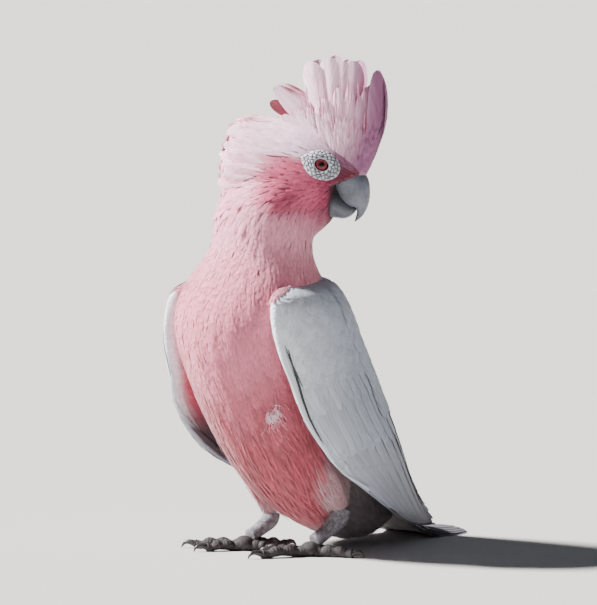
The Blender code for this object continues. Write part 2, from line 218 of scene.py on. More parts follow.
def object_of(name, data):
    """A new object in the scene for a mesh, a light or a camera."""
    made = bpy.data.objects.new(name, data)
    bpy.context.scene.collection.objects.link(made)
    return made


def piece_from(name, made, material):
    """Puts a bmesh in millimetres into the scene as a finished piece of the bird."""
    bmesh.ops.scale(made, verts=made.verts, vec=(MM, MM, MM))
    return piece_of(name, mesh_of(name, made), material)


def piece_of(name, mesh, material):
    """Puts a mesh in metres into the scene as a finished piece of the bird."""
    mesh.materials.append(material)
    mesh.shade_smooth()
    piece = object_of(name, mesh)
    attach(piece, "root")
    return piece


def paint(mesh, name, values, kind="FLOAT_COLOR"):
    """Stores a colour or a number at each of a mesh's points."""
    layer = mesh.attributes.new(name, kind, "POINT")
    if kind == "FLOAT_COLOR":
        values = np.concatenate([values, np.ones((len(values), 1))], 1)
        layer.data.foreach_set("color", values.astype(np.float32).ravel())
    else:
        layer.data.foreach_set("value", values.astype(np.float32).ravel())


def corners_of(made):
    """Where a bmesh's corners are."""
    return np.array([v.co for v in made.verts])


def move_corners(made, points):
    """Puts each corner of a bmesh at its point."""
    for vertex, point in zip(made.verts, points):
        vertex.co = point


def grid(made, sides, rings):
    """Makes a flat grid; returns where each corner is across and along it, 0 to 1."""
    bmesh.ops.create_grid(made, x_segments=sides, y_segments=rings, size=1)
    return (corners_of(made)[:, :2] / 2 + 0.5).T


SEAM = 0.9999  # from here round a tube, a corner belongs to its first column
MERGE = 0.004  # corners nearer to each other than this become one


def tube(place, rings, sides):
    """A closed bmesh whose rings are place(along, around), both arrays from 0 to 1."""
    made = bmesh.new()
    around, along = grid(made, sides, rings)
    move_corners(made, place(along, np.where(around > SEAM, 0.0, around)))
    bmesh.ops.remove_doubles(made, verts=made.verts, dist=MERGE)
    bmesh.ops.holes_fill(made, edges=[e for e in made.edges if e.is_boundary], sides=0)
    bmesh.ops.triangulate(made, faces=[f for f in made.faces if len(f.verts) > 4])
    bmesh.ops.recalc_face_normals(made, faces=made.faces)
    return made


def rounded(around, fullness=2.0):
    """Points of a unit ring, squarer as fullness grows past 2."""
    angle = around * math.tau
    c, s = np.cos(angle), np.sin(angle)
    power = 2 / fullness
    return np.sign(c) * abs(c) ** power, np.sign(s) * abs(s) ** power


# ---------------------------------------------------------------- materials
def new_material(name):
    """A material with its shader, ready to be wired."""
    made = bpy.data.materials.new(name)
    made.use_nodes = True
    return made, made.node_tree, made.node_tree.nodes["Principled BSDF"]


def fill(node, **values):
    """Sets a node's properties; numbers for sockets go by socket name, with _ for a space."""
    for name, value in values.items():
        if hasattr(node, name):
            setattr(node, name, value)
        else:
            node.inputs[name.replace("_", " ")].default_value = value
    return node


def put(tree, kind, **values):
    """A new node, its properties and sockets filled in."""
    return fill(tree.nodes.new(kind), **values)


def stored_tint(tree):
    """The colour stored on a piece."""
    return put(tree, "ShaderNodeAttribute", attribute_name="Tint").outputs["Color"]


def object_place(tree):
    """The place on the object that materials are laid by."""
    return put(tree, "ShaderNodeTexCoord").outputs["Object"]


def noise_at(tree, place, **values):
    """Noise, 0 to 1, read at a place."""
    noise = put(tree, "ShaderNodeTexNoise", **values)
    tree.links.new(place, noise.inputs["Vector"])
    return noise.outputs["Fac"]


def stretched(tree, place, scale):
    """A place with its axes drawn out or in."""
    mapping = put(tree, "ShaderNodeMapping", Scale=scale)
    tree.links.new(place, mapping.inputs["Vector"])
    return mapping.outputs["Vector"]


def ramp(tree, source, stops):
    """A colour ramp read at a number; stops are (place, colour or grey)."""
    node = tree.nodes.new("ShaderNodeValToRGB")
    tree.links.new(source, node.inputs["Fac"])
    while len(node.color_ramp.elements) < len(stops):
        node.color_ramp.elements.new(0.5)
    for element, (place, colour) in zip(node.color_ramp.elements, stops):
        element.position = place
        element.color = (*((colour,) * 3 if np.isscalar(colour) else colour), 1)
    return node.outputs["Color"]


def sum_of(tree, operation, first, second=0.0):
    """A maths node; either side may be a socket or a number."""
    node = tree.nodes.new("ShaderNodeMath")
    node.operation = operation
    for socket, value in zip(node.inputs, (first, second)):
        if isinstance(value, (int, float)):
            socket.default_value = value
        else:
            tree.links.new(value, socket)
    return node.outputs["Value"]


def multiply(tree, colour, grey):
    """A colour darkened or lightened by a grey."""
    node = put(tree, "ShaderNodeMix", data_type="RGBA", blend_type="MULTIPLY", Factor=1.0)
    tree.links.new(colour, node.inputs[6])
    tree.links.new(grey, node.inputs[7])
    return node.outputs[2]


def bump(tree, shader, height, strength, distance):
    node = put(tree, "ShaderNodeBump", Strength=strength, Distance=distance)
    tree.links.new(height, node.inputs["Height"])
    tree.links.new(node.outputs["Normal"], shader.inputs["Normal"])


SHAFT_HALF = 0.028  # half a shaft's width, as a share of the vane's


def barbs_group():
    """Barbs of a vane: fine lines that sweep from the shaft to the edges, in uneven clumps.

    It reads the Vane map, across from 0 to 1 and along from 0 to 1, and Lot, a number of the vane's own.
    """
    group = bpy.data.node_groups.new("barbs", "ShaderNodeTree")
    for way, names in (("INPUT", ("Fineness", "Sweep")), ("OUTPUT", ("Lines", "Shaft"))):
        for name in names:
            group.interface.new_socket(name, in_out=way, socket_type="NodeSocketFloat")
    given = group.nodes.new("NodeGroupInput")
    result = group.nodes.new("NodeGroupOutput")
    vane = put(group, "ShaderNodeUVMap", uv_map="Vane")
    lot = put(group, "ShaderNodeAttribute", attribute_name="Lot")
    split = group.nodes.new("ShaderNodeSeparateXYZ")
    group.links.new(vane.outputs["UV"], split.inputs["Vector"])
    aside = sum_of(group, "ABSOLUTE", sum_of(group, "SUBTRACT", split.outputs["X"], 0.5))
    swept = sum_of(group, "MULTIPLY", aside, given.outputs["Sweep"])
    barb = sum_of(group, "SUBTRACT", split.outputs["Y"], swept)
    fine = sum_of(group, "MULTIPLY", barb, given.outputs["Fineness"])
    place = group.nodes.new("ShaderNodeCombineXYZ")
    group.links.new(fine, place.inputs["X"])
    group.links.new(sum_of(group, "MULTIPLY", split.outputs["X"], 1.6), place.inputs["Y"])
    group.links.new(sum_of(group, "MULTIPLY", lot.outputs["Fac"], 37.0), place.inputs["Z"])
    lines = noise_at(group, place.outputs["Vector"], Scale=1.0, Detail=2.5, Roughness=0.65)
    group.links.new(lines, result.inputs["Lines"])
    group.links.new(sum_of(group, "LESS_THAN", aside, SHAFT_HALF), result.inputs["Shaft"])
    return group


BARBS = barbs_group()


def plumage_material(name, fineness, sweep, contrast, roughness, sheen, relief, shaft=0.0):
    """Feathers in the colour stored on them, broken up by their barbs."""
    made, tree, shader = new_material(name)
    barbs = put(tree, "ShaderNodeGroup", node_tree=BARBS, Fineness=fineness, Sweep=sweep)
    lines = barbs.outputs["Lines"]
    light = ramp(tree, lines, [(0.3, 1 - contrast), (0.5, 1.0), (0.72, 1 + contrast * 0.35)])
    colour = multiply(tree, stored_tint(tree), light)
    if shaft:
        dark = ramp(tree, barbs.outputs["Shaft"], [(0.0, 1.0), (1.0, 1 - shaft)])
        colour = multiply(tree, colour, dark)
    tree.links.new(colour, shader.inputs["Base Color"])
    fill(shader, Roughness=roughness, Sheen_Weight=sheen, Sheen_Roughness=0.5, Specular_IOR_Level=0.3)
    bump(tree, shader, lines, relief, 0.0004)
    return made


def skin_material():
    """Bare skin under the coat: the same markings, dull and a little uneven."""
    made, tree, shader = new_material("skin")
    pores = noise_at(tree, object_place(tree), Scale=900.0, Detail=3.0)
    light = ramp(tree, pores, [(0.3, 0.6), (0.7, 0.9)])
    tree.links.new(multiply(tree, stored_tint(tree), light), shader.inputs["Base Color"])
    fill(shader, Roughness=0.85)
    bump(tree, shader, pores, 0.5, 0.0003)
    return made


def horn_material(name, colour, dark, scale, roughness):
    """Horn: clouded, with faint growth lines round it, and scuffed."""
    made, tree, shader = new_material(name)
    place = object_place(tree)
    cloud = noise_at(tree, place, Scale=scale, Detail=4.0, Roughness=0.6)
    rings = stretched(tree, place, (1.0, 1.0, 5.0))
    line = noise_at(tree, rings, Scale=scale * 2.2, Detail=3.0, Roughness=0.6)
    base = multiply(tree, ramp(tree, cloud, [(0.3, dark), (0.62, colour)]), stored_tint(tree))
    light = ramp(tree, line, [(0.3, 0.86), (0.6, 1.0)])
    tree.links.new(multiply(tree, base, light), shader.inputs["Base Color"])
    rough = ramp(tree, line, [(0.3, roughness + 0.15), (0.7, roughness)])
    tree.links.new(rough, shader.inputs["Roughness"])
    bump(tree, shader, line, 0.15, 0.0003)
    return made


def scales_material(name, scale, powder, groove_light=0.55):
    """Dry scaly skin in the colour stored on it, dark in the grooves and powdered on what stands up."""
    made, tree, shader = new_material(name)
    place = object_place(tree)
    cells = put(tree, "ShaderNodeTexVoronoi", feature="DISTANCE_TO_EDGE", Scale=scale)
    tree.links.new(place, cells.inputs["Vector"])
    raised = ramp(tree, cells.outputs["Distance"], [(0.0, 0.0), (0.16, 1.0)])
    dust = noise_at(tree, place, Scale=scale * 0.6, Detail=4.0, Roughness=0.7)
    light = ramp(tree, dust, [(0.35, 1 - powder), (0.65, 1 + powder)])
    groove = ramp(tree, raised, [(0.0, groove_light), (1.0, 1.0)])
    colour = multiply(tree, multiply(tree, stored_tint(tree), light), groove)
    tree.links.new(colour, shader.inputs["Base Color"])
    fill(shader, Roughness=0.7)
    bump(tree, shader, raised, 0.6, 0.0004)
    return made


def iris_material():
    """A wet eye: stored colours of pupil, iris and rim, streaked outward, under a clear coat."""
    made, tree, shader = new_material("iris")
    vane = put(tree, "ShaderNodeUVMap", uv_map="Vane").outputs["UV"]
    streak = noise_at(tree, stretched(tree, vane, (60.0, 2.0, 1.0)), Scale=1.0, Detail=3.0)
    light = ramp(tree, streak, [(0.3, 0.72), (0.7, 1.15)])
    tree.links.new(multiply(tree, stored_tint(tree), light), shader.inputs["Base Color"])
    fill(shader, Roughness=0.3, Specular_IOR_Level=0.2, Coat_Weight=0.45, Coat_Roughness=0.03)
    return made


BODY_PLUMAGE = plumage_material("body plumage", 12.0, 0.9, 0.2, 0.8, 0.25, relief=0.3)
FACE_PLUMAGE = plumage_material("face plumage", 7.0, 0.9, 0.2, 0.85, 0.2, relief=0.3)
CREST_PLUMAGE = plumage_material("crest plumage", 30.0, 0.8, 0.32, 0.7, 0.2, shaft=0.08, relief=0.3)
WING_PLUMAGE = plumage_material("wing plumage", 16.0, 0.7, 0.22, 0.75, 0.12, shaft=0.05, relief=0.4)
FLIGHT_PLUMAGE = plumage_material("flight plumage", 110.0, 0.2, 0.14, 0.5, 0.1, shaft=0.25, relief=0.25)
SKIN = skin_material()
BILL_HORN = horn_material("bill horn", shade(122, 127, 140), shade(88, 92, 104), 110.0, 0.34)
CLAW_HORN = horn_material("claw horn", shade(52, 50, 50), shade(30, 29, 30), 200.0, 0.28)
FOOT_SCALES = scales_material("foot scales", 900.0, 0.35)
BARE_SKIN = scales_material("eye ring skin", 1500.0, 0.08, 0.9)
IRIS = iris_material()


# ---------------------------------------------------------------- markings
ROSE = shade(228, 134, 156)
LILAC = shade(238, 160, 184)
BELLY = shade(184, 82, 98)
BELLY_BROWN = shade(142, 80, 84)
CHEEK = shade(208, 94, 126)
# deep rose of the face's front and the throat, darkened to maroon as painted shadow under the bill
CHEEK_DEEP_AND_SHADOW = shade(122, 26, 62)
CROWN = shade(255, 216, 238)
CROWN_PINK = shade(240, 182, 206)
FOREHEAD = shade(178, 118, 152)
LORES = shade(118, 52, 72)
GAPE_SHADE = shade(28, 18, 22)
NAPE_RED = shade(176, 52, 70)
MANTLE = shade(164, 168, 177)
RUMP = shade(205, 208, 213)
VENT = shade(112, 100, 106)
SHIN = shade(178, 146, 154)
WING_PALE = shade(236, 242, 250)
WING_GREY = shade(178, 186, 202)
WING_DUSK = shade(140, 142, 156)
FLIGHT = shade(98, 94, 104)
UNDERWING = shade(190, 84, 104)


def shin_nearness(points):
    """1 in the feathered shins, fading out round them."""
    near = np.zeros(points.shape[:-1])
    for rows in SHINS:
        for row in blend(rows, np.linspace(0, 1, 14)):
            gap = np.linalg.norm(points - row[:3] - STANCE, axis=-1) / row[3]
            near = np.maximum(near, ease(gap, 1.55, 1.1))
    front = points[..., 1] + 0.5 * abs(points[..., 0])
    return near * ease(points[..., 2], 84, 62) * ease(front, -22, -12)


def bill_line(f):
    """How high the feathers of the face end over the bill, for a place f forward in the head."""
    return 242.4 + (f - 23.4) * 0.355


def bill_gap(points):
    """1 where the bill stands bare at the front of the face, so that no flesh or feather covers it."""
    spots = in_head(points)
    f, z = spots[..., 0], spots[..., 2]
    rear = 20.6 + (z - 219.7) * 0.123
    return ease(f - rear, -0.9, 0.9) * ease(bill_line(f) - z, -0.9, 0.9) * ease(z, 214, 217)


def behind(points):
    """How far each point lies behind the middle of the body's side, at its own height."""
    heights, middles = (16, 34, 65, 106, 148, 180, 205), (38, 9, -19, -43, -62, -65, -58)
    return points[..., 1] - np.interp(points[..., 2], heights, middles)


def plumage(points):
    """The bird's markings: the colour of the plumage at points of head, neck, trunk and shins."""
    spots = in_head(points)
    f, hz = spots[..., 0], spots[..., 2]
    y, z = points[..., 1], points[..., 2]
    soft = clouds(points, 26, 5)
    colour = mix(ROSE, LILAC, ease(z + soft * 8, 170, 215))
    colour = mix(colour, BELLY, ease(z + soft * 14, 152, 62))
    dusk = 0.5 + 0.5 * clouds(points * (1, 1, 0.4), 12, 8)
    colour = mix(colour, BELLY_BROWN, dusk * ease(z, 135, 80) * ease(y, 20, -10) * 0.45)
    head = ease(z, 214, 232)
    cheek = ((f - 6) / 30) ** 2 + ((hz - 243.5) / 24) ** 2
    colour = mix(colour, CHEEK, ease(cheek + soft * 0.12, 1.45, 0.45) * ease(z, 200, 232))
    # the face's front under the eye and the throat under the bill turn deep rose, darkened towards maroon as
    # painted shadow of the face and bill
    dark = ease(f + soft * 2, 9, 26) * ease(hz, 262, 246) * ease(z, 198, 216)
    colour = mix(colour, CHEEK_DEEP_AND_SHADOW, dark * 0.85)
    colour = mix(colour, CHEEK_DEEP_AND_SHADOW, ease(f, 0, 16) * ease(hz, 234, 224) * ease(z, 200, 214) * 0.6)
    line = 262 + soft * 1.5
    colour = mix(colour, CROWN, ease(hz - line, -3.0, 3.0) * head)
    nape = ease(f, -17, -36) * ease(hz, 232, 250) * head
    colour = mix(colour, CROWN_PINK, nape * 0.8)
    above = hz - bill_line(f)
    colour = mix(colour, FOREHEAD, ease(f, 17, 30) * ease(above, 3, 9) * ease(hz, 246, 256))
    colour = mix(colour, LORES, ease(f, 18, 30) * ease(above + soft * 5, 12, 1) * ease(hz, 236, 244) * 0.85)
    # the skin inside the bill is near black: painted shade in the gape between the bill's halves
    colour = mix(colour, GAPE_SHADE, bill_gap(points))
    back = ease(behind(points), 26, 36) * ease(z + soft * 3, 206, 192)
    colour = mix(colour, MANTLE, back)
    colour = mix(colour, RUMP, back * ease(z, 98, 70) * 0.8)
    colour = mix(colour, VENT, ease(y + soft * 3, -20, -4) * ease(z, 66, 48))
    colour = mix(colour, SHIN, shin_nearness(points) * 0.85)
    return colour


# ---------------------------------------------------------------- the skin
SWELL = 0.6  # how far the fleshy solids grow into each other, and the wings shrink
SKIN_GRAIN = 1.7  # how fine the cells are that the flesh is melted on
ARM_END = 72  # how low the flesh in a wing reaches
THIN_SHARE = 0.3  # how much of a thin arm may shrink away
FACE_NARROWS = 0.66  # how much of its width the face loses inside the bill


def skin_depth(points):
    """How far the skin lies inside the outline: a coat's depth, least on the face and shins."""
    spots = in_head(points)
    depth = 2.2 - 1.0 * ease(spots[..., 2], 226, 246) - 0.6 * shin_nearness(points)
    face = np.linalg.norm(spots - BILL_ROOT, axis=-1)
    return depth - 0.5 * ease(face, 30, 14)


def node_tree_of(nodes):
    """The solids' surfaces, for asking how near they are."""
    corners, faces = [], []
    for node in nodes:
        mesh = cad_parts[node].data
        first = len(corners)
        corners += [v.co / MM for v in mesh.vertices]
        faces += [[first + v for v in p.vertices] for p in mesh.polygons]
    return BVHTree.FromPolygons(corners, faces)


BODY_TREE = node_tree_of(FLESH)
ARM_TREE = node_tree_of(("wing_left", "wing_right"))
BARE_TREE = node_tree_of(("eye_ring_left", "eye_ring_right", "bill_upper", "bill_lower"))


def gap_to(tree, points):
    """How far each point is from a surface."""
    return np.array([tree.find_nearest(Vector(p))[3] for p in points])


def swollen(node, by):
    """A solid's mesh merged and grown a little, so that it runs into its neighbours."""
    part = bmesh.new()
    part.from_mesh(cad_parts[node].data)
    bmesh.ops.remove_doubles(part, verts=part.verts, dist=0.02 * MM)
    part.normal_update()
    for vertex in part.verts:
        vertex.co += vertex.normal * by * MM
    return mesh_of("swollen", part)


def arm_in(name):
    """The flesh in the top of a wing, cut off where the long quills begin."""
    arm = bmesh.new()
    arm.from_mesh(swollen(f"wing_{name}", -SWELL))
    geometry = arm.verts[:] + arm.edges[:] + arm.faces[:]
    cut = {"plane_co": Vector((0, 0, ARM_END * MM)), "plane_no": Vector((0, 0.3, -1))}
    bmesh.ops.bisect_plane(arm, geom=geometry, clear_outer=True, **cut)
    bmesh.ops.holes_fill(arm, edges=[e for e in arm.edges if e.is_boundary], sides=0)
    return mesh_of("arm", arm)


def whole_flesh():
    """Every fleshy part and both arms melted into one smooth surface, in metres."""
    joined = bmesh.new()
    for node in FLESH:
        joined.from_mesh(swollen(node, SWELL))
    for name in SIDES:
        joined.from_mesh(arm_in(name))
    flesh = object_of("flesh", mesh_of("flesh", joined))
    remesh = flesh.modifiers.new("whole", "REMESH")
    remesh.mode = "VOXEL"
    remesh.voxel_size = SKIN_GRAIN * MM
    graph = bpy.context.evaluated_depsgraph_get()
    whole = bpy.data.meshes.new_from_object(flesh.evaluated_get(graph))
    bpy.data.objects.remove(flesh)
    made = bmesh.new()
    made.from_mesh(whole)
    axes = {"use_axis_x": True, "use_axis_y": True, "use_axis_z": True}
    for _ in range(3):
        bmesh.ops.smooth_vert(made, verts=made.verts, factor=0.5, **axes)
    made.normal_update()
    return made


def make_skin():
    """One skin over head, neck, trunk and shins, with an arm of flesh in the top of each wing."""
    made = whole_flesh()
    places = corners_of(made) / MM
    normals = np.array([v.normal for v in made.verts])
    depth = skin_depth(places) + SWELL
    in_arm = gap_to(ARM_TREE, places) + 1 < gap_to(BODY_TREE, places)
    # an arm is thin at the wing's back edge, so there it shrinks by no more than a share of that
    outer = BVHTree.FromBMesh(made)
    for index in np.flatnonzero(in_arm):
        start = Vector((places[index] - normals[index] * 0.05) * MM)
        hit = outer.ray_cast(start, Vector(-normals[index]))
        depth[index] = min(depth[index], (hit[3] or 0.0) / MM * THIN_SHARE)
    places = places - normals * depth[:, None]
    spots = in_head(places)
    spots[:, 1] *= 1 - FACE_NARROWS * bill_gap(places)
    places = from_head(spots)
    move_corners(made, places)
    bmesh.ops.triangulate(made, faces=made.faces)
    tree = BVHTree.FromBMesh(made)
    skin = piece_from("skin", made, SKIN)
    tint = plumage(places)
    tint[in_arm] = WING_GREY * 0.7
    paint(skin.data, "Tint", tint)
    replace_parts(skin, *FLESH)
    return skin, tree


SKIN_PIECE, SKIN_TREE = make_skin()


def on_skin(points):
    """The nearest places of the skin, and its normals there."""
    found = [SKIN_TREE.find_nearest(Vector(p)) for p in points]
    return np.array([f[0] for f in found]), np.array([f[1] for f in found])


# ---------------------------------------------------------------- vanes
def leaf(stations, columns, outline):
    """A vane's pattern: along, across and triangles. outline(along) is its half width, 0 to 1."""
    along, across, rows = [], [], []
    for station in stations:
        half = outline(station)
        steps = [0.0] if half < 0.02 else np.linspace(-1, 1, columns)
        rows.append([len(along) + k for k in range(len(steps))])
        along += [station] * len(steps)
        across += [half * s for s in steps]
    triangles = []
    for near, far in zip(rows, rows[1:]):
        for k in range(max(len(near), len(far)) - 1):
            a, b = near[min(k, len(near) - 1)], near[min(k + 1, len(near) - 1)]
            c, d = far[min(k, len(far) - 1)], far[min(k + 1, len(far) - 1)]
            triangles += [t for t in ((a, b, d), (a, d, c)) if len(set(t)) == 3]
    return np.array(along), np.array(across), np.array(triangles)


def frayed(teeth):
    """A small body vane whose end is parted into clumps of barbs."""
    along = [0.0, 0.3, 0.3, 0.3]
    across = [0.0, -0.55, 0.0, 0.55]
    steps = np.linspace(-1, 1, teeth + 1)
    for station, half in ((0.58, 0.95), (0.8, 0.86)):
        along += [station] * (teeth + 1)
        across += list(steps * half)
    first, second = 4, 4 + teeth + 1
    triangles = [(0, 2, 1), (0, 3, 2)]
    for k in range(teeth):
        near = 1 + min(2, round(k * 2 / (teeth - 1)))
        triangles += [(near, first + k + 1, first + k)]
        triangles += [(first + k, first + k + 1, second + k + 1), (first + k, second + k + 1, second + k)]
    triangles += [(1, 2, first + teeth // 2), (2, 3, first + teeth // 2 + 1)]
    tips = len(along)
    for k in range(teeth):
        middle = (steps[k] + steps[k + 1]) / 2
        along += [1.03 - 0.2 * middle**2]
        across += [middle * 0.8]
        triangles += [(second + k, second + k + 1, tips + k)]
    return np.array(along), np.array(across), np.array(triangles), tips


def round_tip(along, widest=0.6, root=0.25, tip_from=0.78):
    """A rounded blade: narrow root, full width by widest, round end."""
    half = root + (1 - root) * ease(along, 0, widest)
    if along > tip_from:
        half *= math.sqrt(max(0.0, 1 - ((along - tip_from) / (1 - tip_from)) ** 2))
    return float(half)


def ragged(pattern, count, dice, low, high):
    """How far along each point of each vane lies, its torn tips reaching unevenly far."""
    along = np.broadcast_to(pattern[0], (count, len(pattern[0]))).copy()
    tips = pattern[3]
    along[:, tips:] += dice.uniform(low, high, (count, len(pattern[0]) - tips))
    return along


PATCH = 0.003  # how wide each vane's patch is on the unwrap
FLOOR_CLEAR = 0.15


def inset(spots):
    """Spots of the unit square drawn in from its edges, for the unwrap."""
    return 0.02 + 0.96 * spots


class Coat:
    """Collects vanes, block by block, and joins them into one piece."""

    def __init__(self, name, material, slot):
        self.name, self.material, self.slot = name, material, slot
        self.points, self.tints, self.lots = [], [], []
        self.vanes, self.patches, self.faces = [], [], []
        self.count = 0

    def add(self, points, pattern, tints, dice, roots):
        """points and tints are vane by vane; roots is each vane's place on the unwrap."""
        vanes, corners = points.shape[:2]
        first = self.count + np.arange(vanes)[:, None, None] * corners
        vane = np.stack([pattern[1] / 2 + 0.5, np.clip(pattern[0], 0, 1)], 1)
        self.points.append(points.reshape(-1, 3))
        self.tints.append(np.broadcast_to(tints, points.shape).reshape(-1, 3))
        self.lots.append(np.repeat(dice.random(vanes), corners))
        self.vanes.append(np.tile(vane, (vanes, 1)))
        patch = roots[:, None, :] + (vane[None] - 0.5) * PATCH
        self.patches.append(patch.reshape(-1, 2))
        self.faces.append((first + pattern[2][None, :, ::-1]).reshape(-1, 3))
        self.count += vanes * corners

    def finish(self):
        """The whole coat as one piece, kept just clear of the floor."""
        points = np.concatenate(self.points)
        points[:, 2] = np.maximum(points[:, 2], FLOOR_CLEAR)
        faces = np.concatenate(self.faces)
        mesh = bpy.data.meshes.new(self.name)
        mesh.vertices.add(len(points))
        mesh.vertices.foreach_set("co", (points * MM).astype(np.float32).ravel())
        mesh.loops.add(faces.size)
        mesh.loops.foreach_set("vertex_index", faces.astype(np.int32).ravel())
        mesh.polygons.add(len(faces))
        mesh.polygons.foreach_set("loop_start", np.arange(0, faces.size, 3, dtype=np.int32))
        mesh.polygons.foreach_set("loop_total", np.full(len(faces), 3, np.int32))
        mesh.update(calc_edges=True)
        for name, values in (("Vane", self.vanes), ("OFBake", self.patches)):
            layer = mesh.uv_layers.new(name=name)
            corners = np.concatenate(values)[faces.ravel()]
            layer.uv.foreach_set("vector", corners.astype(np.float32).ravel())
        paint(mesh, "Tint", np.concatenate(self.tints))
        paint(mesh, "Lot", np.concatenate(self.lots), "FLOAT")
        return piece_of(self.name, mesh, self.material)


def bow(along, root, middle, tip):
    """The bow through three stops, and which way it runs, at each share along."""
    course = root * ((1 - along) * (1 - 2 * along)) + middle * (4 * along * (1 - along))
    course = course + tip * (along * (2 * along - 1))
    turn = root * (4 * along - 3) + middle * (4 - 8 * along) + tip * (4 * along - 1)
    return course, turn


def bent_vanes(pattern, stops, normals, widths, lift, camber, roll):
    """Vanes over three stops each, root, middle and tip (vane, stop, xyz), lying on their normals.

    lift is the height over the stops; camber is how far the edges sink, as a share of the half width.
    """
    along = pattern[0][..., None]
    across = np.broadcast_to(pattern[1], pattern[0].shape)[..., None]
    root, middle, tip = (stops[:, k][:, None] for k in range(3))
    spine, turn = bow(along, root, middle, tip)
    way = unit(turn)
    up = unit(bow(along, *(normals[:, k][:, None] for k in range(3)))[0])
    side = unit(np.cross(up, way))
    up = np.cross(way, side)
    half = widths[:, None, None] / 2
    sunk = camber * half * across**2
    return spine + side * across * half * np.cos(roll) + up * (lift + across * half * np.sin(roll) - sunk)


# ---------------------------------------------------------------- the lie of the body's coat
# The middle of the bird from crown to tail root: what the coat's lie and its unwrap go by.
SPINE = [
    (20, -17, 292),
    (9, -26, 249),
    (3.5, -35, 222),
    (0, -43, 181),
    (0, -40.5, 147.5),
    (0, -21.5, 105.5),
    (0, 2.5, 65.5),
    (0, 31, 34),
    (0, 71, 13),
]
SPINE_LINE = blend(SPINE, np.linspace(0, 1, 160)) + STANCE
SPINE_WAY = unit(np.gradient(SPINE_LINE, axis=0))


def spine_near(points):
    """Which sample of the spine is nearest to each point."""
    found = np.empty(len(points), int)
    batch = 4000
    for first in range(0, len(points), batch):
        part = points[first : first + batch]
        gaps = np.linalg.norm(part[:, None] - SPINE_LINE[None], axis=-1)
        found[first : first + batch] = gaps.argmin(1)
    return found


def unwrap(points):
    """Each point's place on a square: how far round the spine, and how far along it."""
    near = spine_near(points)
    way = SPINE_WAY[near]
    aside = np.array((1.0, 0.0, 0.0))
    front = unit(np.cross(way, aside))
    off = points - SPINE_LINE[near]
    turn = np.arctan2(off @ aside, (off * front).sum(1)) / math.tau + 0.5
    return inset(np.stack([turn, near / (len(SPINE_LINE) - 1)], 1))


def lie(points, normals):
    """Which way the plumage points: away from the bill on the head, then down and back."""
    away = unit(points - from_head(BILL_ROOT))
    down = SPINE_WAY[spine_near(points)]
    shin = shin_nearness(points)[:, None]
    down = down * (1 - shin) + np.array((0.0, 0.5, -0.87)) * shin
    share = ease(points[:, 2], 212, 246)[:, None]
    way = away * share + down * (1 - share)
    return unit(way - normals * dot(way, normals))


def coat_plan(points):
    """For each place: spacing, length, width, height of the tip over the skin, and stiffness."""
    spots = in_head(points)
    face = np.linalg.norm(spots - BILL_ROOT, axis=-1)
    z = points[:, 2]
    soft = clouds(points, 15, 21)
    body = np.stack([
        np.interp(z, (60, 120, 180, 225), (1.95, 1.85, 1.75, 1.6)),
        np.interp(z, (40, 100, 180, 225), (16, 14, 12, 10)),
        np.interp(z, (40, 100, 180, 225), (3.6, 3.4, 3.1, 2.7)),
        0.9 + soft * 0.12,
        np.zeros(len(z)),
    ], 1)
    head = np.stack([
        np.clip(1.15 + 0.03 * (face - 9), 1.1, 2.3),
        np.clip(3.4 + 0.19 * (face - 9), 3.2, 10),
        np.clip(1.3 + 0.05 * (face - 9), 1.2, 3),
        np.clip(0.35 + 0.012 * (face - 9), 0.35, 0.8),
        np.zeros(len(z)),
    ], 1)
    plan = head + (body - head) * ease(z, 240, 216)[:, None]
    line = 259.5 + 0.1 * spots[:, 0]
    crown = ease(spots[:, 2] - line, -1, 5) * ease(face, 22, 40)
    nape = ease(spots[:, 0], -14, -30) * ease(spots[:, 2], 228, 250)
    shins = shin_nearness(points)
    back = ease(behind(points), 28, 38) * ease(z, 206, 192)
    tail_under = ease(points[:, 1], -14, 0) * ease(z, 62, 46) * (1 - shins)
    for kind, share in (((1.9, 14, 3.6, 1.1, 0.1), crown), ((2.1, 14, 3.8, 1.2, 0.15), nape),
                        ((1.5, 9.5, 2.4, 1.0, 0.0), shins), ((3.6, 16, 11, 2.2, 0.0), back),
                        ((3.0, 22, 5.5, 2.2, 0.35), tail_under)):
        plan = plan + (np.array(kind) - plan) * share[:, None]
    return plan


CROWD = 5.0  # places tried for each that there is room for
BARE_CLEAR = 1.1  # how far feathers keep off the bill and the bare rings


def scattered(plan, keep, seed):
    """Places spread evenly over the kept part of the skin, at the plan's spacing there."""
    dice = np.random.default_rng(seed)
    mesh = SKIN_PIECE.data
    places = np.empty(len(mesh.vertices) * 3)
    mesh.vertices.foreach_get("co", places)
    corners = np.empty(len(mesh.polygons) * 3, int)
    mesh.polygons.foreach_get("vertices", corners)
    triangles = (places.reshape(-1, 3) / MM)[corners.reshape(-1, 3)]
    middles = triangles.mean(1)
    wanted = keep(middles)
    triangles, middles = triangles[wanted], middles[wanted]
    edges = triangles[:, 1:] - triangles[:, :1]
    area = np.linalg.norm(np.cross(edges[:, 0], edges[:, 1]), axis=1) / 2
    share = area / plan(middles)[:, 0] ** 2
    count = int(share.sum() * CROWD)
    chosen = dice.choice(len(triangles), count, p=share / share.sum())
    a, b = dice.random((2, count, 1))
    a, b = np.where(a + b > 1, 1 - a, a), np.where(a + b > 1, 1 - b, b)
    first, second, third = (triangles[chosen, k] for k in range(3))
    found = first + (second - first) * a + (third - first) * b
    spacing = plan(found)[:, 0]
    tree = KDTree(count)
    for index, point in enumerate(found):
        tree.insert(point, index)
    tree.balance()
    free = np.ones(count, bool)
    for index in range(count):
        if free[index]:
            for _, other, _ in tree.find_range(found[index], spacing[index]):
                free[other] = other == index
    return found[free]


def on_body(points):
    """Whether places of the skin belong to the body and not to a wing, and carry feathers."""
    own = gap_to(BODY_TREE, points) < gap_to(ARM_TREE, points)
    return own & (gap_to(BARE_TREE, points) > BARE_CLEAR) & (bill_gap(points) < 0.3)


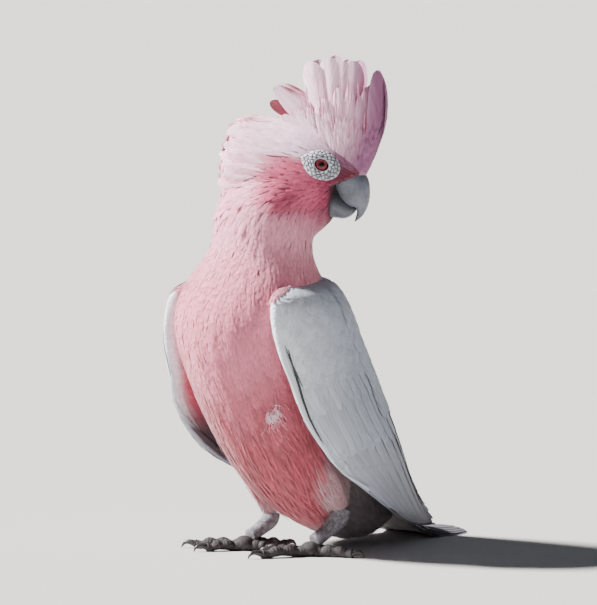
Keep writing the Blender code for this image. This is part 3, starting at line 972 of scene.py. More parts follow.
def grow_coat(coat, plan, keep, seed, fray):
    """Covers the kept part of the skin with small vanes that follow the lie."""
    roots = scattered(plan, keep, seed)
    dice = np.random.default_rng(seed + 1)
    roots, normals = on_skin(roots)
    count = len(roots)
    sizes = plan(roots)
    lengths = sizes[:, 1] * dice.uniform(0.82, 1.15, count)
    way = lie(roots, normals)
    turn = dice.normal(0, 0.1, (count, 1)) + clouds(roots, 20, seed)[:, None] * 0.1
    way = unit(way + np.cross(normals, way) * turn)
    middles, middle_normals = on_skin(roots + way * lengths[:, None] * 0.5)
    onward = lie(middles, middle_normals)
    onward = unit(onward + np.cross(middle_normals, onward) * turn)
    tips, tip_normals = on_skin(middles + onward * lengths[:, None] * 0.5)
    stiff = sizes[:, 4:5] * dice.uniform(0.6, 1.15, (count, 1))
    tips = tips + (middles + onward * lengths[:, None] * 0.5 - tips) * stiff
    tip_normals = unit(tip_normals + (middle_normals - tip_normals) * stiff)
    stops = np.stack([roots, middles, tips], 1)
    three = np.stack([normals, middle_normals, tip_normals], 1)
    pattern = frayed(fray)
    along = ragged(pattern, count, dice, -0.13, 0.08)
    high = (sizes[:, 3] * dice.uniform(0.8, 1.15, count))[:, None, None]
    lift = 0.3 + (high - 0.3) * np.minimum(along[..., None], 1.0) ** 0.8
    roll = dice.normal(0, 0.05, (count, 1, 1))
    widths = sizes[:, 2] * dice.uniform(0.85, 1.15, count)
    points = bent_vanes((along, pattern[1]), stops, three, widths, lift, 0.12, roll)
    seen = tips * 0.6 + middles * 0.4
    loose = 0.045 + 0.05 * ease(seen[:, 2], 120, 70)[:, None]
    loose = loose + 0.12 * ease(np.linalg.norm(in_head(seen) - BILL_ROOT, axis=1), 20, 11)[:, None]
    own = plumage(seen) * (1 + dice.normal(0, 1, (count, 1)) * loose)
    # each vane darker towards its root: partly the feather's darker base, partly painted shade where it lies
    # under the vane before
    light = 0.84 + 0.17 * ease(along, 0.4, 0.95)
    light = light * (1 + dice.normal(0, 1, along.shape) * (0.02 + loose) * ease(along, 0.3, 0.6))
    coat.add(points, pattern, own[:, None, :] * light[..., None], dice, unwrap(roots))


def grow_nape(coat):
    """Longer loose feathers over the back of the crown and the nape, some with red-pink ends."""
    dice = np.random.default_rng(131)

    def plan(points):
        return np.full((len(points), 5), 4.8)

    def keep(points):
        spots = in_head(points)
        back = (spots[:, 0] < -8 - 0.2 * abs(spots[:, 2] - 262)) & (spots[:, 2] > 226)
        return back & (spots[:, 0] < 14 - 0.9 * (286 - spots[:, 2])) | back & (spots[:, 0] < -22)

    roots, normals = on_skin(scattered(plan, keep, 132))
    count = len(roots)
    way = lie(roots, normals)
    way = unit(way + np.cross(normals, way) * dice.normal(0, 0.16, (count, 1)))
    lengths = dice.uniform(15, 22, count)[:, None]
    middles, middle_normals = on_skin(roots + way * lengths * 0.5)
    tips = roots + way * lengths + middle_normals * 0.4
    near, tip_normals = on_skin(tips)
    tips = tips + (near - tips) * dice.uniform(0.55, 0.95, (count, 1))
    stops = np.stack([roots, middles, tips], 1)
    three = np.stack([normals, middle_normals, unit(middle_normals + tip_normals)], 1)
    pattern = frayed(5)
    along = ragged(pattern, count, dice, -0.06, 0.05)
    proud = 1 + 1.6 * ease(abs(in_head(tips)[:, 1]), 12, 5)[:, None, None]
    lift = 0.9 + dice.uniform(0.2, 1.1, (count, 1, 1)) * proud * np.minimum(along[..., None], 1) ** 2
    widths = dice.uniform(4.2, 6.2, count)
    roll = dice.normal(0, 0.12, (count, 1, 1))
    points = bent_vanes((along, pattern[1]), stops, three, widths, lift, 0.25, roll)
    own = plumage(tips) * (1 + dice.normal(0, 0.04, (count, 1)))
    own = mix(own, CROWN, 0.5 * ease(tips[:, 2], 226, 250))
    # darker towards the root: partly the feather's base, partly painted shade where it lies under the feather
    # before
    tints = own[:, None, :] * (0.86 + 0.14 * ease(along, 0.2, 0.7))[..., None]
    middle = ease(abs(in_head(tips)[:, 1]), 9, 6) * ease(tips[:, 2], 222, 236)
    red = ((dice.random(count) < 0.24) * middle)[:, None] * ease(along, 0.45, 0.8)
    coat.add(points, pattern, mix(tints, NAPE_RED, red * 0.8), dice, unwrap(roots))


def strand_plan(points):
    """Loose silky strands over the breast and belly, longest low down."""
    low = ease(points[:, 2], 130, 60)
    return np.stack([4.8 - 1.2 * low, 15 + 12 * low, 1.0 + 0.5 * low, 1.25 + 0.9 * low, 0.1 * low], 1)


def grow_tuft(coat):
    """A small ruffled tuft of down on the belly, with a few rosy strands round it."""
    dice = np.random.default_rng(141)
    for count, spread, reach, widths, high, stray, colour in (
            (110, (1.5, 1.1, 2.3), (1.8, 4.6), (0.25, 0.5), 1.6, 0.8, shade(246, 218, 228)),
            (44, (3.4, 2.6, 5.5), (6.0, 11.0), (0.3, 0.6), 1.0, 0.35, shade(226, 140, 160))):
        places = np.array(TUFT_MIDDLE) + dice.normal(0, 1, (count, 3)) * np.array(spread)
        roots, normals = on_skin(places)
        way = lie(roots, normals)
        way = unit(way + np.cross(normals, way) * dice.normal(0, stray, (count, 1)))
        lengths = dice.uniform(*reach, count)[:, None]
        curl = np.cross(normals, way) * dice.normal(0, 0.2, (count, 1)) * lengths
        rise = normals * dice.uniform(0.2, high, (count, 1))
        middles = roots + way * lengths * 0.5 + curl + rise
        stops = np.stack([roots, middles, roots + way * lengths + rise * 0.8], 1)
        pattern = frayed(3)
        along = np.broadcast_to(pattern[0], (count, len(pattern[0])))
        wide = dice.uniform(*widths, count)
        roll = dice.normal(0, 0.3, (count, 1, 1))
        points = bent_vanes((along, pattern[1]), stops, np.stack([normals] * 3, 1), wide, 1.0, 0.1, roll)
        tints = colour * (1 + dice.normal(0, 0.06, (count, 1, 1)))
        coat.add(points, pattern, tints, dice, unwrap(roots))


def make_body_coat():
    """Head, neck, breast, belly, vent and shins, each a piece of its own."""
    def zone(low, high):
        return lambda p: (p[:, 2] >= low) & (p[:, 2] < high) & on_body(p)

    def is_shin(p):
        return (shin_nearness(p) > 0.5) & on_body(p)

    coats = {}
    for name, material, slot, keep, seed, fray in (
            ("head", FACE_PLUMAGE, "plumage_rose", zone(232, 400), 101, 3),
            ("neck", BODY_PLUMAGE, "plumage_rose", zone(186, 232), 103, 5),
            ("breast", BODY_PLUMAGE, "plumage_rose", zone(132, 186), 105, 5),
            ("belly", BODY_PLUMAGE, "plumage_rose", lambda p: zone(82, 132)(p) & ~is_shin(p), 107, 5),
            ("vent", BODY_PLUMAGE, "plumage_rose", lambda p: zone(0, 82)(p) & ~is_shin(p), 111, 5),
            ("shins", BODY_PLUMAGE, "plumage_grey", is_shin, 109, 3)):
        coats[name] = Coat(f"coat_{name}", material, slot)
        grow_coat(coats[name], coat_plan, keep, seed, fray)
    grow_nape(coats["head"])
    grow_coat(coats["belly"], strand_plan,
              lambda p: (p[:, 1] < 0) & zone(34, 118)(p) & ~is_shin(p), 113, 3)
    grow_coat(coats["breast"], strand_plan, lambda p: (p[:, 1] < -20) & zone(118, 215)(p), 115, 3)
    grow_tuft(coats["belly"])
    for coat in coats.values():
        coat.finish()


make_body_coat()


# ---------------------------------------------------------------- vanes laid on a sheet
class Sheet:
    """A face that vanes are laid on: place(t, w), which sign its outside has, and where w ends."""

    def __init__(self, place, outside, low=0.0, high=1.0):
        self.place, self.outside, self.low, self.high = place, outside, low, high


def hugging_vanes(sheet, pattern, roots, middles, tips, widths, sink, tilt=0.0, camber=0.0):
    """Vanes laid on a sheet, each along a bow from its root by its middle to its tip.

    sink is how far under the sheet each point lies; tilt tucks one edge of a vane under the next.
    Returns the points and their t and w.
    """
    along, across = (p[None, :, None] if p.ndim == 1 else p[..., None] for p in pattern[:2])
    course, turn = bow(along, *(np.asarray(p, float)[:, None] for p in (roots, middles, tips)))
    t, w = course[..., 0], course[..., 1]
    small = 0.006
    step_t = (sheet.place(t + small, w) - sheet.place(t - small, w)) / (2 * small)
    step_w = (sheet.place(t, w + small) - sheet.place(t, w - small)) / (2 * small)
    way = unit(step_t * turn[..., :1] + step_w * turn[..., 1:])
    up = unit(np.cross(step_t, step_w)) * sheet.outside
    side = np.cross(up, way)
    offset = side * across * np.asarray(widths, float).reshape(-1, 1, 1) / 2
    tt, ww, tw = dot(step_t, step_t), dot(step_w, step_w), dot(step_t, step_w)
    on_t, on_w = dot(step_t, offset), dot(step_w, offset)
    whole = np.maximum(tt * ww - tw * tw, 1e-6)
    t = t + ((ww * on_t - tw * on_w) / whole)[..., 0]
    w = w + ((tt * on_w - tw * on_t) / whole)[..., 0]
    held_t, held_w = np.clip(t, 0, 1), np.clip(w, sheet.low, sheet.high)
    # over the edge of a two-faced sheet, a wing, vanes spill less far than they are wide
    spill = 0.4 if sheet.low < 0 else 1.0
    beyond = step_t * (t - held_t)[..., None] + step_w * (w - held_w)[..., None] * spill
    points = sheet.place(held_t, held_w) + beyond
    sink = np.broadcast_to(np.asarray(sink, float), t.shape)[..., None]
    return points - up * (sink + tilt * across + camber * across**2), np.stack([t, w], -1)


def wing_sheet(side):
    """The folded wing: t from shoulder to tip; w from 0 at the front edge to 1 at the back edge
    over the outer face, and to -1 over the inner face."""

    def place(t, w):
        rows = blend(WING_ROWS, t)
        lead, back = rows[..., 0:3], rows[..., 3:6]
        bulge, outside, inside = rows[..., 6], rows[..., 7], rows[..., 8]
        chord = back - lead
        outward = unit(np.stack([chord[..., 1], -chord[..., 0], np.zeros(t.shape)], -1))
        share = np.clip(abs(w), 0, 1)
        share = share * (share + 0.12) / 1.12
        arch = bulge * 4 * share * (1 - share) * (0.6 + 0.8 * share)
        edge = np.sqrt(np.maximum(0.0, 1 - (2 * share - 1) ** 2))
        over = outside * np.minimum(1.0, 1.6 * edge)
        under = -inside * edge**1.3 - np.minimum(1.0, 1.6 * edge) * 1.2
        depth = np.where(w < 0, under, over)
        hang = WING_HELD_OUT[side] * np.sin(math.pi * np.clip(t, 0, 1)) * (1 - share)
        point = lead + chord * share[..., None] + outward * (arch + depth)[..., None]
        point = point + np.stack([hang, -hang, np.zeros(t.shape)], -1)
        return point * np.array((side, 1, 1)) + STANCE

    return Sheet(place, side, -1.0, 1.0)


BLADE = leaf([0, 0.1, 0.25, 0.42, 0.58, 0.72, 0.82, 0.89, 0.94, 0.98, 1.0], 7,
             lambda a: round_tip(a, 0.35, 0.3, 0.84))
COVERT = leaf([0, 0.4, 0.7, 0.86, 0.95, 1.0], 5, lambda a: round_tip(a, 0.55, 0.3, 0.62))
POINTED = leaf([0, 0.15, 0.35, 0.55, 0.72, 0.85, 0.94, 1.0], 5, lambda a: round_tip(a, 0.3, 0.4, 0.5))


def row_of(count, start, end):
    """Evenly spaced steps from one pair of numbers to another."""
    steps = np.linspace(0, 1, count)[:, None]
    return np.asarray(start, float) * (1 - steps) + np.asarray(end, float) * steps


def along_sheet(sheet, roots, length, dice, spread, stray):
    """Tips for vanes of a length in mm, laid straight up a sheet from their roots."""
    ahead = sheet.place(roots[:, 0] + 0.02, roots[:, 1])
    speed = np.linalg.norm(ahead - sheet.place(*roots.T), axis=1) / 0.02
    reach = length / np.maximum(speed, 1) * dice.uniform(*spread, len(roots))
    return roots + np.stack([reach, dice.normal(0, stray, len(roots))], 1)


def wing_colour(t, w):
    """The wing's markings: whitish at the front edge, soft grey, darker flight feathers, rosy lining."""
    share = abs(w)
    face = np.ones((*t.shape, 3))
    outer = mix(face * WING_GREY, WING_PALE, ease(share, 0.72, 0.12) * ease(t, 0.8, 0.25))
    outer = mix(outer, WING_DUSK, ease(t, 0.5, 0.9) * (0.35 + 0.65 * ease(share, 0.1, 0.7)))
    outer = mix(outer, FLIGHT, ease(t, 0.8, 0.97))
    inner = mix(face * (WING_PALE * 0.9), UNDERWING, ease(share, 0.14, 0.3))
    inner = mix(inner, FLIGHT * 0.55, ease(t, 0.47, 0.55))
    inner = mix(inner, WING_GREY, ease(share, 0.62, 0.8))
    return mix(outer, inner, ease(w, -0.02, -0.06))


def lay(coat, sheet, pattern, roots, tips, width, sink, seed, bend=0.0, tilt=0.3, rim=0.05, tone=1.0,
        colour=None):
    """Lays a row or a patch of vanes on a wing or the back, later ones over earlier ones."""
    dice = np.random.default_rng(seed)
    roots, tips = np.asarray(roots, float), np.asarray(tips, float)
    count = len(roots)
    middles = (roots + tips) / 2 + np.array((0.0, bend))
    widths = width * dice.uniform(0.94, 1.06, count)
    steps = np.linspace(0.3, 0, count)[:, None] * min(1.0, count / 10)
    depth = sink[0] + (sink[1] - sink[0]) * pattern[0][None, :] ** 0.7 + steps
    if count < 20:
        tips = tips + dice.normal(0, 0.006, (count, 2)) * np.array((1.0, 0.4))
    tuck = tilt * sheet.outside
    points, spots = hugging_vanes(sheet, pattern, roots, middles, tips, widths, depth, tuck, 0.1)
    mottle = 1 + 0.05 * clouds(points, 14, 41) + 0.07 * clouds(points * (1.5, 1.5, 0.6), 4, 42)
    own = wing_colour(spots[..., 0], spots[..., 1]) if colour is None else plain(colour, points)
    own = own * mottle[..., None] * (tone + dice.normal(0, 0.04, (count, 1, 1)))
    edge = np.maximum(ease(abs(pattern[1]), 0.8, 1.0), ease(pattern[0], 0.93, 1.0))
    # darker towards the root, partly the feather's base and partly painted shade under the vane before; rim
    # makes edges and tip paler
    light = (0.8 + 0.2 * ease(pattern[0], 0.3, 0.85)) * (1 + rim * edge)
    patch = inset(np.clip(np.stack([(roots[:, 1] + 1) / 2, roots[:, 0]], 1), 0, 1))
    coat.add(points, pattern, own * light[None, :, None], dice, patch)


def run_of(line):
    """How far along a line of points each point is."""
    steps = np.linalg.norm(np.diff(line, axis=0), axis=1)
    return np.concatenate([[0], np.cumsum(steps)])


def scatter_on(sheet, low, high, spacing, seed):
    """Roots in staggered rows over a stretch of a sheet, evenly spaced on its real surface."""
    dice = np.random.default_rng(seed)
    t_line = np.linspace(low[0], high[0], 200)
    w_line = np.linspace(low[1], high[1], 80)
    run = run_of(sheet.place(t_line, np.full(200, (low[1] + high[1]) / 2)))
    rows = np.interp(np.arange(0, run[-1], spacing * 0.87), run, t_line)
    roots = []
    for index, t in enumerate(rows):
        reach = run_of(sheet.place(np.full(80, t), w_line))
        for stop in np.arange((index % 2) * spacing / 2, reach[-1], spacing):
            place = np.interp(stop, reach, w_line)
            roots.append((t + dice.normal(0, 0.003), place + dice.normal(0, 0.004)))
    return np.array(roots)


def small_coverts(coat, sheet, low, high, spacing, length, width, sink, seed):
    """The scale-like small coverts over a stretch of the wing."""
    roots = scatter_on(sheet, low, high, spacing, seed)
    tips = along_sheet(sheet, roots, length, np.random.default_rng(seed + 1), (0.88, 1.12), 0.01)
    lay(coat, sheet, COVERT, roots, tips, width, sink, seed + 2, rim=0.03, tilt=0.0)


def make_wing(name, side):
    """One folded wing: quills first, then each row of coverts over the roots of the last."""
    sheet = wing_sheet(side)
    quills = Coat(f"wing_quills_{name}", FLIGHT_PLUMAGE, "plumage_grey")

    def row(coat, pattern, count, roots, tips, width, sink, seed, **more):
        """A row of vanes from its first root and tip to its last."""
        lay(coat, sheet, pattern, row_of(count, *roots), row_of(count, *tips), width, sink, seed, **more)

    # primaries, the outermost along the front edge, then the secondaries over them and the tertials
    row(quills, BLADE, 9, ((0.42, 0.12), (0.48, 0.62)), ((1.0, 0.50), (0.90, 0.90)), 12.5, (2.1, 1.5), 11,
        bend=-0.10, tilt=0.45, rim=0.25)
    row(quills, BLADE, 12, ((0.46, 0.06), (0.30, 0.84)), ((0.74, 0.10), (0.93, 0.92)), 17.5, (1.7, 0.8), 12,
        tilt=0.5, rim=0.25)
    row(quills, BLADE, 5, ((0.24, 0.80), (0.12, 0.95)), ((0.82, 0.90), (0.52, 0.98)), 18.0, (1.2, 0.5), 13,
        tilt=0.45, rim=0.25)
    # the same quills seen from within
    row(quills, BLADE, 11, ((0.44, -0.8), (0.44, -0.18)), ((0.84, -0.84), (0.96, -0.5)), 16.0, (1.5, 0.9), 14)
    row(quills, BLADE, 7, ((0.40, -0.64), (0.40, -0.17)), ((0.78, -0.6), (0.70, -0.2)), 16.0, (1.2, 0.5), 15,
        tone=1.15)
    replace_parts(quills.finish(), f"wing_{name}")
    coverts = Coat(f"wing_coverts_{name}", WING_PLUMAGE, "plumage_grey")
    row(coverts, BLADE, 14, ((0.34, 0.06), (0.24, 0.84)), ((0.60, 0.07), (0.57, 0.88)), 12.5, (1.1, 0.35), 21,
        tilt=0.4, rim=0.15)
    row(coverts, COVERT, 17, ((0.31, 0.05), (0.20, 0.84)), ((0.48, 0.06), (0.42, 0.87)), 10.5, (0.8, 0.2), 22,
        tilt=0.4, rim=0.1)
    small_coverts(coverts, sheet, (0.0, 0.10), (0.34, 0.86), 4.2, 12.5, 7.4, (1.3, -0.25), 23)
    small_coverts(coverts, sheet, (0.03, -0.78), (0.40, -0.12), 4.6, 14.0, 8.5, (0.9, 0.15), 25)
    # the long narrow feathers of the hand lie along the front edge
    row(coverts, POINTED, 4, ((0.28, 0.14), (0.30, 0.02)), ((0.66, 0.15), (0.70, 0.02)), 7.0, (0.5, 0.0), 24,
        rim=0.12)
    row(coverts, POINTED, 4, ((0.26, -0.14), (0.28, -0.02)), ((0.60, -0.12), (0.68, -0.02)),
        7.0, (0.5, 0.1), 26, rim=0.12)
    small_coverts(coverts, sheet, (-0.01, -0.16), (0.62, 0.14), 3.0, 10.0, 6.0, (0.35, -0.15), 27)
    # two near-black slim vanes as painted shade in the slits between the hand's feathers, and the pale slip
    # of feather in front of them
    for root, tip, width, depth, tone in (((0.245, 0.105), (0.38, 0.16), 1.0, -1.3, 0.12),
                                          ((0.26, 0.14), (0.54, 0.075), 1.6, -1.2, 0.1),
                                          ((0.24, 0.05), (0.62, 0.015), 4.0, -0.9, 1.15)):
        lay(coverts, sheet, POINTED, [root], [tip], width, (depth + 0.1, depth), 28, tilt=0.0, tone=tone)
    coverts.finish()
    # rosy feathers from the neck's side lap over the shoulder's front corner
    lap = Coat(f"coat_shoulder_{name}", BODY_PLUMAGE, "plumage_rose")
    roots = scatter_on(sheet, (0.0, -0.3), (0.08, 0.28), 1.9, 29)
    edge = 0.062 - 0.26 * np.maximum(roots[:, 1], 0) + 0.05 * np.minimum(roots[:, 1], 0)
    roots = roots[roots[:, 0] < edge]
    dice = np.random.default_rng(30)
    count = len(roots)
    tips = roots + np.stack([dice.uniform(0.03, 0.065, count), dice.normal(-0.01, 0.045, count)], 1)
    own = mix(LILAC * 0.85, ROSE * 0.7, dice.random(count))
    lay(lap, sheet, frayed(4), roots, tips, 2.2, (0.1, -0.8), 31, rim=0.0, colour=own[:, None, :])
    lap.finish()


for wing_name, wing_side in SIDES.items():
    make_wing(wing_name, wing_side)


HOLLOW = 0.4  # how much of the back, from its middle to a wing, is the hollow between the wings


def back_folds(t, w):
    """The back from wing to wing: the wings' back edges and a low ridge over the hollow between."""
    turn = w * 2 - 1
    far = abs(turn)
    over_wing = np.maximum((far - HOLLOW) / (1 - HOLLOW), 0)
    points = wing_sheet(LEFT).place(t, 0.985 - 0.25 * over_wing) - STANCE
    inner = np.clip(far / HOLLOW, 0, 1)
    ahead = heading(WING_ROWS, t, slice(4, 6))
    rise = 1.6 * (1 - inner**2)
    y, z = points[..., 1] - ahead[..., 1] * rise, points[..., 2] + ahead[..., 0] * rise
    return np.stack([points[..., 0] * np.sign(turn) * inner, y, z], -1) + STANCE


def back_place(t, w):
    """The same sheet with its folds rounded off."""
    return sum(back_folds(t, w + step) for step in (-0.06, -0.03, 0.0, 0.03, 0.06)) / 5


def make_back():
    """Grey shoulder feathers over both wings' back edges, then the pale rump between the wings."""
    sheet = Sheet(back_place, -1)
    coat = Coat("coat_back", WING_PLUMAGE, "plumage_grey")
    for low, high, spacing, length, width, seed in (((0.03, 0.0), (0.2, 1.0), 4.2, 13.0, 8.0, 61),
                                                    ((0.18, 0.02), (0.44, 0.98), 5.2, 21.0, 10.0, 62),
                                                    ((0.40, 0.24), (0.8, 0.76), 4.8, 24.0, 9.0, 63)):
        roots = scatter_on(sheet, low, high, spacing, seed)
        dice = np.random.default_rng(seed)
        tips = along_sheet(sheet, roots, length, dice, (0.8, 1.15), 0.008)
        tips[:, 0] = np.minimum(tips[:, 0], 0.87)
        far = abs(roots[:, 1] * 2 - 1)
        own = mix(MANTLE, RUMP, ease(roots[:, 0], 0.4, 0.6))
        own = mix(own, WING_GREY * 1.02, ease(far, 0.3, 0.6))[:, None, :]
        lay(coat, sheet, COVERT, roots, tips, width, (0.6, -1.1), seed, tilt=0.0, rim=0.1, colour=own)
    coat.finish()


make_back()


# ---------------------------------------------------------------- tail
def tail_sheet(under):
    """The tail's upper or lower face: t from root to tip, w from its right edge to its left."""

    def place(t, w):
        rows = blend(TAIL_ROWS, t)
        ahead = heading(TAIL_ROWS, t, slice(0, 2))
        c, s = rounded(np.clip(w, 0, 1) * 0.5 - 0.25, 2.6)
        thick = rows[..., 3] * c * (-1 if under else 1)
        height = thick - TAIL_ARCH * (1 - np.clip(t, 0, 1)) * s * s
        y, z = rows[..., 0] - ahead[..., 1] * height, rows[..., 1] + ahead[..., 0] * height
        return np.stack([rows[..., 2] * s, y, np.maximum(z, 0.2)], -1) + STANCE

    return Sheet(place, 1 if under else -1)


def make_tail():
    """Twelve tail quills, the middle pair on top, with coverts over and under their roots."""
    top, under = tail_sheet(False), tail_sheet(True)
    tail = Coat("tail_quills", FLIGHT_PLUMAGE, "plumage_slate")
    dice = np.random.default_rng(31)
    for pair in range(6):
        for way in (-1, 1):
            root = np.array([[0.02, 0.5 + way * (0.02 + 0.05 * pair)]])
            tip = np.array([[1.0 - 0.012 * pair, 0.5 + way * (0.03 + 0.078 * pair)]])
            sink = 0.15 + 0.28 * pair + (0.14 if way < 0 else 0.0)
            points, _ = hugging_vanes(top, BLADE, root, (root + tip) / 2, tip, [15.5], sink, way * 0.12, 0.1)
            # darker towards the root, partly the quill's base and partly painted shade under the quill above;
            # paler at the edges
            light = (0.8 + 0.2 * ease(BLADE[0], 0.1, 0.7)) * (1 + 0.12 * ease(abs(BLADE[1]), 0.8, 1.0))
            tints = (FLIGHT * (0.9 + dice.normal(0, 0.03)))[None, None] * light[None, :, None]
            patch = np.array([[0.08 * (pair * 2 + (way > 0)) + 0.05, 0.5]])
            tail.add(points, BLADE, tints, dice, patch)
    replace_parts(tail.finish(), "tail")
    coverts = Coat("tail_coverts", BODY_PLUMAGE, "plumage_grey")
    for sheet, colour, low, high in ((top, RUMP, 0.0, 0.5), (under, VENT, 0.0, 0.6)):
        roots = scatter_on(sheet, (low, 0.05), (high, 0.95), 4.0, 33)
        count = len(roots)
        tips = roots + np.stack([dice.uniform(0.14, 0.2, count), dice.normal(0, 0.01, count)], 1)
        middles = (roots + tips) / 2
        depth = 0.5 - 0.9 * COVERT[0][None, :]
        points, _ = hugging_vanes(sheet, COVERT, roots, middles, tips, np.full(count, 8.5), depth, 0.0, 0.1)
        # darker towards the root: partly the feather's base, partly painted shade
        light = (0.85 + 0.15 * COVERT[0])[None, :, None]
        tints = colour * (0.95 + dice.normal(0, 0.03, (count, 1, 1))) * light
        patch = inset(np.clip(roots[:, ::-1] * 0.4 + (0.5 if sheet is under else 0), 0, 1))
        coverts.add(points, COVERT, tints, dice, patch)
    coverts.finish()


make_tail()


# ---------------------------------------------------------------- crest
PLUME = leaf([0, 0.14, 0.28, 0.42, 0.55, 0.67, 0.77, 0.85, 0.91, 0.95, 0.98, 1.0], 11,
             lambda a: round_tip(a, 0.62, 0.42, 0.74))
# deep pink of the crest's feather bases, also used as painted shade where plumes tuck under each other
CREST_DEEP_PINK_AND_SHADE = shade(204, 88, 130)
# mauve of the crest's front, darkened to stand for the shade on it
MAUVE_AND_SHADE = shade(158, 102, 140)

# Each broad plume, in the head's frame: root and tip (forward, aside, z), width, bow towards the
# bill, degrees that its face turns to the bill; how red, deep pink and mauve it is, the deep pink and mauve
# partly painted shade; how it narrows.
PLUMES = [
    (-1, 2.0, 285, -19.0, 3.0, 294.8, 10, 0, -10, 1.0, 0.6, 0.0, 0.3),
    (10, 6.5, 278, -15.4, 7.5, 305.0, 16, 3.2, 2, 0.9, 0.4, 0.0, 0.4),
    (6, 4.5, 281, -7.0, 5.0, 301.5, 13, 1, 0, 0.3, 0.9, 0.0, 0.3),
    (19, 5.0, 277, 9.6, 8.5, 321.8, 17.0, -1.5, -10, 0.1, 0.25, 0.0, 0),
    (24, 6.0, 276, 21.2, 9.0, 325.2, 15.5, 0, 0, 0.0, 0.3, 0.0, 0),
    (28, 5.0, 276, 30.0, 8.0, 322.6, 14, 1, 8, 0.0, 0.7, 0.2, 0),
    (33, 4.5, 272, 37.4, 7.0, 322.6, 14, 1.5, 16, 0.0, 0.7, 0.7, 0),
    (36, 4.0, 256, 45.0, 4.5, 306.0, 12, 4, 30, 0.0, 0.3, 0.3, 0.3),
    (40, 2.5, 248, 51.0, 3.2, 316.4, 15.5, 7.5, 48, 0.0, 0.1, 0.9, 0.15),
    (24, 8.0, 258, 18.0, 10.0, 298.3, 15, -1, -4, 0.0, 0.15, 0.0, 0),
    (28.5, 7.5, 257, 27.6, 9.6, 305.4, 11, 0, 4, 0.0, 0.45, 0.05, 0.3),
    (32, 6.5, 255, 35.3, 8.6, 309.4, 9, 1, 12, 0.0, 0.6, 0.25, 0.4),
    (36, 5.5, 252, 41.0, 6.8, 300.6, 9, 2.5, 26, 0.0, 0.25, 0.25, 0.4),
    (19, 8.6, 263, 7.2, 10.0, 292.4, 12, -1, -8, 0.0, 0.6, 0.0, 0.4),
    (15, 9.0, 264, -9.0, 8.4, 287.0, 13, 0, -20, 0.0, 0.15, 0.0, 0.4),
    (20, 9.5, 261, 0.0, 9.4, 287.5, 12, 0, -16, 0.0, 0.1, 0.0, 0.4),
]

# The crest's side as one sheet, from the rear to the front: foot and top (forward, aside, z), bow.
CREST_FAN = [
    (1, 7.5, 281, -16, 7.5, 300, 0),
    (10, 9.2, 273, -2, 9.6, 312, -1),
    (18, 10.4, 264, 10, 10.2, 321, -1),
    (26, 9.6, 256, 23, 10.0, 325, 0.5),
    (34, 7.4, 251, 36, 8.4, 323, 2),
    (40.5, 4.2, 248.5, 48, 5.0, 318, 5.5),
    (43.5, 0.0, 248.5, 54.5, 0.0, 315, 7.5),
]


def crest_place(h, w):
    """The crest's outside folded round its front: h from foot to tips, w 0 to 1 from side to side."""
    turn = np.clip(w, 0, 1) * 2 - 1
    rows = blend(CREST_FAN, 1 - abs(turn))
    high = np.clip(h, -0.1, 1.05)
    spots = rows[..., 0:3] + (rows[..., 3:6] - rows[..., 0:3]) * high[..., None]
    bulge = rows[..., 6] * np.sin(math.pi * np.clip(high, 0, 1))
    spots = np.stack([spots[..., 0] + bulge, np.sign(turn) * spots[..., 1], spots[..., 2]], -1)
    return from_head(spots)


CREST = Sheet(crest_place, -1)


def crest_colour(points):
    """Whitish lilac behind, rosier in the middle and mauve at the front, the mauve darkened as painted shade,
    deepest at the front edge.
    """
    spots = in_head(points)
    f, z = spots[..., 0], spots[..., 2]
    front = f - 44 - 14 * np.sin(math.pi / 2 * np.clip((z - 248) / 56, 0, 1))
    rosy = 0.5 * ease(front, -34, -12) + 0.2 * ease(z, 296, 268)
    colour = mix(plain(CROWN, points), CROWN_PINK, rosy)
    colour = mix(colour, MAUVE_AND_SHADE, ease(front, -24, -5) * ease(z, 244, 252))
    # a deeper mauve along the front edge is painted shade
    return mix(colour, MAUVE_AND_SHADE * 0.6, ease(front, -8, 0) * ease(z, 262, 290) * 0.8)


